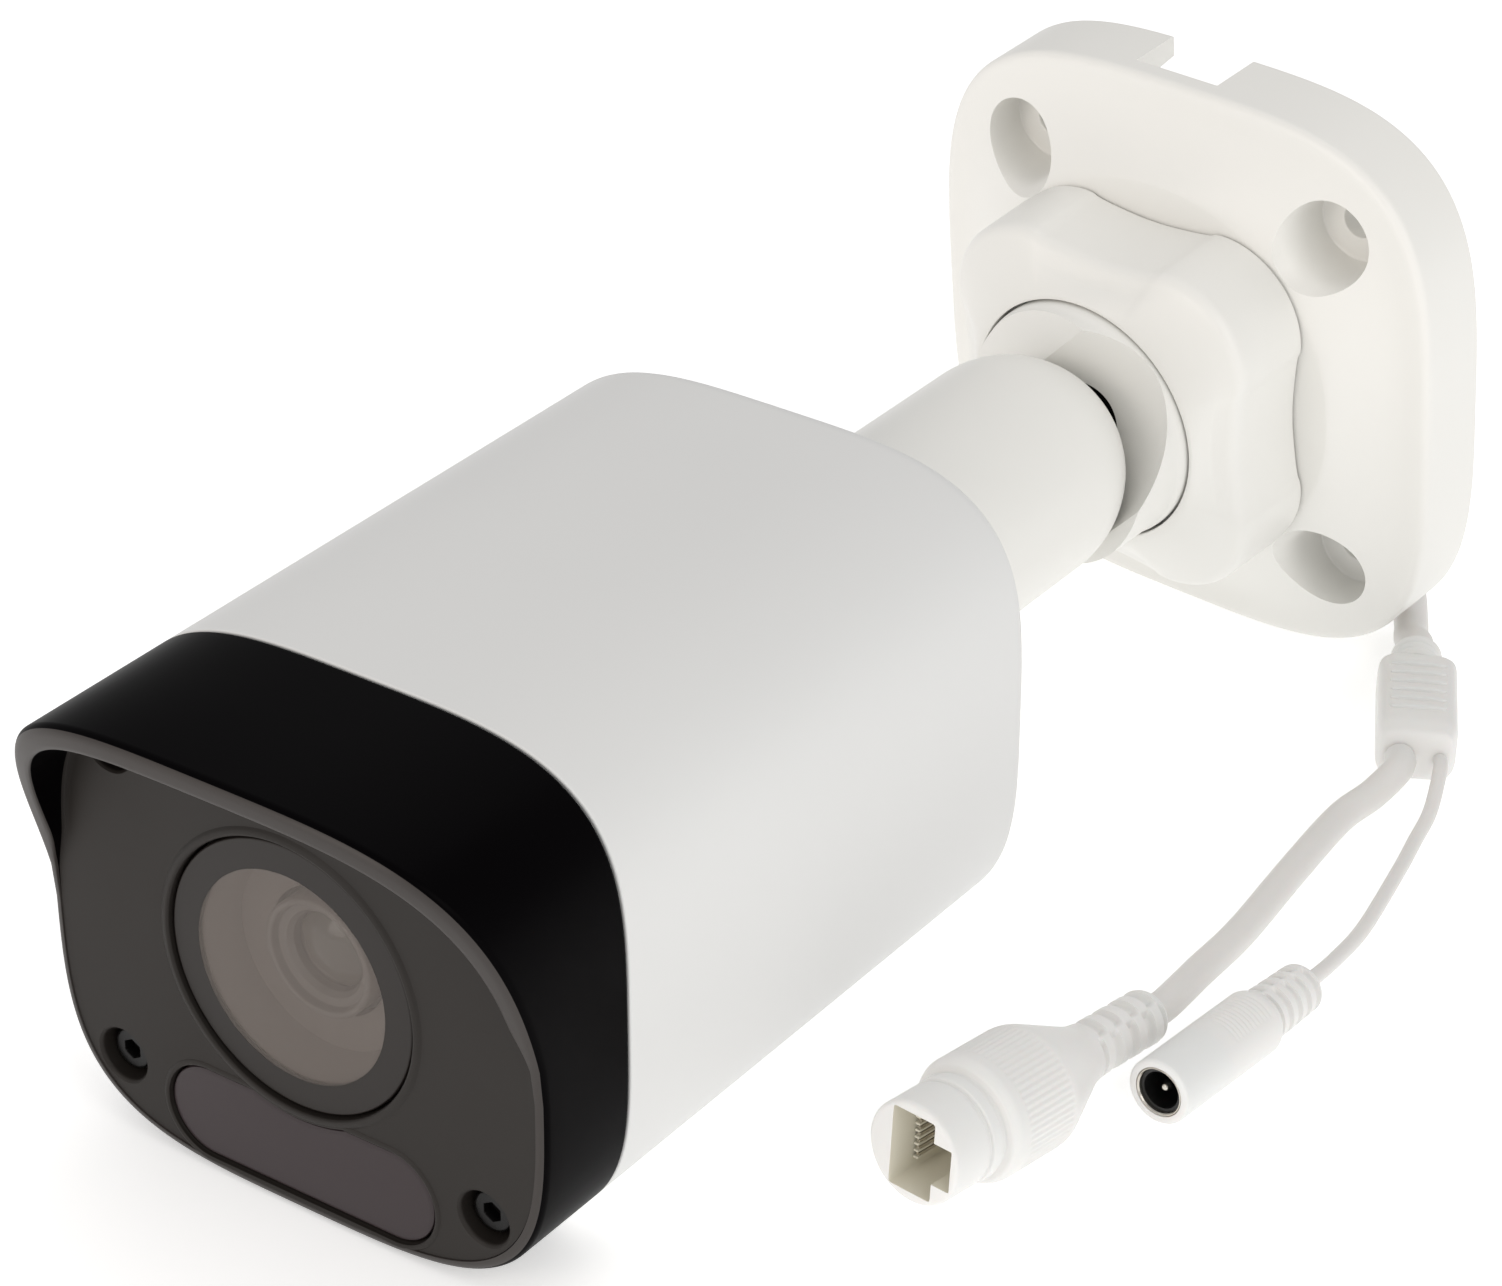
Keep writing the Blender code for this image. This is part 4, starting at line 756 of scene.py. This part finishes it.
# The barrel starts this far behind the face.
Y0 = 5.2
nose = [(Y0 + 4.1, 0.02), (Y0 + 4.1, 5.6), (Y0 + 2.3, 5.65, 0.1), (Y0 + 1.5, 6.2, 0.1),
        (Y0 + 1.3, 7.3, 0.15), (Y0 + 0.2, 7.5, 0.15), (Y0, 7.75, 0.15), (Y0, 8.2, 0.2)]
tube = [(Y0 + 0.3, 8.5, 0.2), (Y0 + 3.8, 8.5), (Y0 + 3.8, 7.0), (Y0 + 8.8, 7.0), (Y0 + 8.8, 6.0),
        (Y0 + 18.8, 6.0), (Y0 + 18.8, 0.02)]
# The barrel's pale colour is a painted highlight.
barrel = revolve("lens_barrel_turned", nose + tube, BODY, [barrel_painted_highlight], "camera", n=128, cz=WINDOW_Z)
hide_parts("lens_barrel")
LENS_R = 5.3
bulge = [(Y0 + 1.2 + 1.9 * (r / LENS_R) ** 2, r) for r in np.linspace(0.02, LENS_R, 14)]
front_lens = revolve("front_lens_dome", bulge + [(Y0 + 3.8, LENS_R), (Y0 + 3.8, 0.02)], BODY,
                     [lens_glass], "camera", cz=WINDOW_Z)
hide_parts("lens_front_glass")

# %% Infrared window
rows = [at(bitten_slot(g, BITE + 0.3 - g), y) for g, y in
        ((-0.9, 0.28), (-0.45, 0.30), (-0.15, 0.38), (-0.02, 0.55), (0.0, 0.8), (0.0, 3.0))]
ir = grid("infrared_window_acrylic", rows, BODY, [infrared], "camera")
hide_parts("ir_window")

# %% [markdown]
# ### Bezel screws
#
# Black socket-head screws deep in their holes. The hexagon socket is made of rows of the grid whose
# radius follows a hexagon: half the width across flats over the cosine of the angle to the
# nearest flat.


# %% Screws
def hexagon(across, n=72):
    a = turn(n)
    away = (a + np.pi / 6) % (np.pi / 3) - np.pi / 6
    return np.stack([across / 2 / np.cos(away) * np.cos(a), across / 2 / np.cos(away) * np.sin(a)], 1)


SCREW_NODES = ("bezel_screw_lower_left", "bezel_screw_lower_right", "bezel_screw_upper_left",
               "bezel_screw_upper_right")
head_and_shank = rounded([(1.7, 1.75), (1.7, 3.0, 0.5), (4.1, 3.0), (4.1, 1.5), (16.0, 1.5),
                          (16.0, 1.3)], 5)
for node, (x, z) in zip(SCREW_NODES, SCREWS):
    rows = [at(hexagon(2.3), 3.3, x, z), at(hexagon(2.5), 1.85, x, z), at(hexagon(2.7), 1.72, x, z)]
    rows += [at(circle(r, 72), y, x, z) for y, r in head_and_shank]
    screw = grid(node + "_black", rows, BODY, [black_screw], "camera")
    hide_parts(node)

# %% [markdown]
# ## Arm, turret, lock ring and plate
#
# These are castings under white powder coat. The arm ends in a ball that sits in the turret's
# cup. A slot in the turret's wall lets the arm swing up, and its rim slopes so that it hugs the
# arm on the lower side.

# %% Arm
ARM_R = 17.6
START = BODY_LEN + 0.3 - REACH
spigot = [(START - 11.0, 6.5), (START - 11.0, 9.2), (START, 9.2), (START, 17.1)]
sleeve_wall = [(START + 0.5, ARM_R, 0.3), (-14.0, ARM_R)]
ball = [(ARM_R * np.sin(t), ARM_R * np.cos(t)) for t in np.radians(np.linspace(0, 68.3, 26))]
arm = revolve("arm_casting", spigot + sleeve_wall + ball, ARM, [base_paint], "arm", n=192, ring=True)
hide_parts("arm")

# %% Turret
tilt_axis = np.array(joints["tilt"]["axis"])
slot_dir = np.cross(tilt_axis, -BASE_AXES[:, 1])
SLOT_AXES = np.stack([np.cross(slot_dir, tilt_axis), slot_dir, tilt_axis], 1)
CUP, RING_Y, RIM_OUT = 17.9, -(PLATE_T + RING_H), 6.5
PIVOT_Y = RING_Y - PIVOT_OUT
bowl = [(PIVOT_Y + CUP * np.sin(t), CUP * np.cos(t)) for t in np.radians(np.linspace(0, 65.2, 24))]
outside = [(RING_Y + 8.3, 7.5), (RING_Y + 8.3, 22.0), (RING_Y + 3.3, 22.0), (RING_Y + 3.3, 19.5),
           (RING_Y - 0.4, 19.5, 0.6), (RING_Y - 1.6, 19.1, 0.8), (PIVOT_Y, 18.75),
           (RING_Y - 21.0, 18.5), (RING_Y - 21.0, CUP)]
turret = revolve("turret_casting", outside + bowl, BASE, [base_paint], None, n=192, ring=True)
trough = revolve("tool", [(0.0, 0.02), (0.0, CUP), (50.0, CUP), (50.0, 0.02)], (PIVOT, SLOT_AXES),
                 [base_paint], None, n=160)
print("slot runs along", slot_dir.round(3))


def box_tool(low, high, place):
    """A plain box from its two corners, as a four sided loft."""
    (x0, y0, z0), (x1, y1, z1) = low, high
    square = np.array([(x0, z0), (x1, z0), (x1, z1), (x0, z1)], float)
    return grid("tool", [at(square, y0), at(square, y1)], place, [base_paint], None)


slope = np.arctan(5.0 / 19.6)
c, s, d = np.cos(slope), np.sin(slope), np.sqrt(0.5)
rise_dir = BASE_AXES @ np.array((d, 0, -d))
out_dir = -BASE_AXES[:, 1]
along_rim, into_rim = c * rise_dir + s * out_dir, -(c * out_dir - s * rise_dir)
RIM_AXES = np.stack([along_rim, into_rim, np.cross(along_rim, into_rim)], 1)
RIM_AT = BASE[0] + BASE_AXES[:, 1] * (RING_Y - RIM_OUT)
front_way = box_tool((0.0, 0.0, -CUP), (60, 60, CUP), (PIVOT, SLOT_AXES))
above_rim = box_tool((-40, -40, -40), (40, 0, 40), (RIM_AT, RIM_AXES))
carve(turret, [trough, front_way, above_rim], crease=40)
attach(turret, "turret")
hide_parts("turret")

# %% Lock ring
a = turn(288)
wave = np.cos(4 * a)
LOBE_OUT, LOBE_IN = 32.2, 25.4
middle, swing = (LOBE_OUT + LOBE_IN) / 2, (LOBE_OUT - LOBE_IN) / 2
lobed = middle - swing * np.sign(wave) * abs(wave) ** 0.75
SEAT = -(PLATE_T + 5.2)


def lobe_row(grow, y, blend=0.0, r=20.4):
    """The four-lobed outline grown by some distance, mixed with a circle by the blend share."""
    radius = (lobed + grow) * (1 - blend) + r * blend
    return at(np.stack([radius * np.cos(a), radius * np.sin(a)], 1), y)


flank = rounded([(-1.0, SEAT - 0.3), (0.0, SEAT - 0.3, 0.7), (0.2, SEAT - 4.0),
                 (0.0, RING_Y + 4.1, 2.4), (-3.0, RING_Y + 2.7)], 8)
rows = [lobe_row(g, y) for g, y in flank]
for share in (0.1, 0.3, 0.5, 0.7, 0.88, 0.96):
    rows.append(lobe_row(-3.0, RING_Y + 2.7 * (1 - share) ** 1.3, share))
inside = rounded([(RING_Y + 0.02, 20.35), (RING_Y, 19.9, 0.35), (RING_Y + 3.0, 19.9),
                  (RING_Y + 3.0, 22.3), (SEAT - 0.3, 22.3)], 5)
rows += [at(circle(r), y) for y, r in inside]
ring = grid("lock_ring_casting", rows, BASE, [base_paint], "lock_ring", ring=True, crease=50)
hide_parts("lock_ring")

# %% [markdown]
# ### Base plate
#
# The plate is a shallow dish with its open side to the wall. Its front swells toward the lock
# ring, four posts take the screws, and each counterbore flares where it meets that swelling.

# %% Base plate
PW, HOLE_AT = 91.6, 28.7


def plate_row(scale, y, share=0.0, r=31.0):
    """The plate's outline times a scale, mixed with a circle by a share."""
    return at(superellipse(PW / 2, PW / 2, 3.53) * scale * (1 - share) + circle(r) * share, y)


side = rounded([(0.9, 0.0), (0.0, 0.0, 0.5), (0.0, -PLATE_T, 2.4), (3.0, -PLATE_T - 0.25)], 8)
rows = [plate_row((PW - 2 * d) / PW, y) for d, y in side]
for share in np.linspace(0.04, 1.0, 22):
    swell = share * share * (3 - 2 * share)
    rows.append(plate_row(0.93 - 0.2 * share, -PLATE_T - 0.25 - 4.95 * swell, share ** 1.3))
rows += [at(circle(r), y) for r, y in ((27.0, SEAT), (22.0, SEAT), (22.0, -29.1), (7.5, -29.1),
                                       (7.5, -14.9), (17.5, -8.9))]
rows += [plate_row(1 - 8.8 / PW, -8.9), plate_row(1 - 6.8 / PW, 0.0)]
plate = grid("base_plate_casting", rows, BASE, [base_paint], None, ring=True)
HOLES = [(sx * HOLE_AT, sz * HOLE_AT) for sx in (-1, 1) for sz in (-1, 1)]
post_side = [(-0.6, 0.02), (-0.6, 9.8, 0.5), (-10.9, 9.8), (-10.9, 0.02)]
bore_side = [(-24, 0.02), (-24, 10.0), (-17.8, 8.2), (-15.2, 6.9, 1.6), (-13.0, 6.6, 1.0),
             (-6.5, 6.5, 0.4), (-6.5, 2.7, 0.3), (3, 2.7), (3, 0.02)]
posts = [revolve("tool", post_side, BASE, [base_paint], None, n=72, cx=x, cz=z) for x, z in HOLES]
bores = [revolve("tool", bore_side, BASE, [base_paint], None, cx=x, cz=z) for x, z in HOLES]
notch = box_tool((-9.9, -9.5, 35.8), (5.1, 9.5, 60.0), BASE)
carve(plate, bores + [notch], join=posts, crease=34)
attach(plate, "base")
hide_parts("base_plate")

# %% Gland
gland = revolve("cable_gland_moulded", [(-28.8, 0.02), (-28.8, 7.1, 0.4), (-14.9, 7.2, 0.3),
                                        (-13.6, 6.0, 0.4), (-10.4, 4.2, 0.4), (-9.9, 3.4, 0.2),
                                        (-9.9, 0.02)], BASE, [rubber], "base")
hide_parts("cable_gland")

# %% [markdown]
# ## Hidden pieces
#
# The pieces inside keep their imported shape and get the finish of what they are.

# %% Finishes for the pieces inside
INSIDE = {zinc: ("arm_nut", "board_pillar_1", "board_pillar_2", "board_pillar_3", "board_pillar_4"),
          rubber: ("arm_seal",), nylon: ("chassis_frame", "lens_mount", "filter_housing"),
          board: ("infrared_board", "main_board", "sensor_board"),
          silicon: ("filter_carriage", "image_sensor"),
          filter_glass: ("infrared_cut_filter",), epoxy: ("infrared_led_left", "infrared_led_right"),
          aluminium: ("heat_spreader",)}
for mat, names in INSIDE.items():
    for name in names:
        node = frame["nodes"][name]
        for slot_ in node.material_slots:
            slot_.material = mat
print("inside", sum(len(names) for names in INSIDE.values()), "pieces")

# %% [markdown]
# ## Light and floor
#
# The table is white acrylic lit from below, so it shows almost no shadow and brightens the
# undersides. A pale even sky and three large soft lamps do the rest: one over the right side, a
# broad one above and behind, and one in front that lifts the black face.

# %% Floor
# White with no grain and almost no shadow.
ground = textured(*finish_of("back-lit opal acrylic table", Specular_IOR_Level=0.1,
                             Emission_Strength=0.38, Emission_Color=linear("#FFFFFF")),
                  "#FFFFFF", "#FFFFFF", 200, [(1.0, 0.002)], (0.9, 0.95))
corners = np.array([(-6, -6, -0.0004), (6, -6, -0.0004), (6, 6, -0.0004), (-6, 6, -0.0004)], float)
floor = put_mesh("floor", corners, np.array([[0, 1, 2, 3]]), np.zeros((0, 3), int), [ground], None)


# %% Lamps
def lamp(name, spot, size, watts, colour="#FFFFFF"):
    """A square area lamp that faces the middle of the object."""
    light = bpy.data.lights.new(name, "AREA")
    light.size, light.energy, light.color = size, watts, linear(colour)[:3]
    holder = bpy.data.objects.new(name, light)
    holder.location = spot
    holder.rotation_euler = (Vector(spot) - Vector((0, 0, 0.04))).to_track_quat("Z", "Y").to_euler()
    bpy.context.scene.collection.objects.link(holder)


lamp("right softbox", (1.3, -0.5, 0.9), 1.0, 6.5, "#FFFDF9")
lamp("overhead softbox", (-0.2, 0.5, 1.5), 1.3, 3, "#FFFFFF")
lamp("front softbox", (-0.35, -1.5, 0.55), 0.8, 7, "#FFF6EE")
world = bpy.data.worlds.new("studio")
world.use_nodes = True
world.node_tree.nodes["Background"].inputs["Color"].default_value = linear("#F6F6F6")
world.node_tree.nodes["Background"].inputs["Strength"].default_value = 0.60
bpy.context.scene.world = world
bpy.context.scene.view_settings.view_transform = "Standard"

# %% Update the scene
bpy.context.view_layer.update()
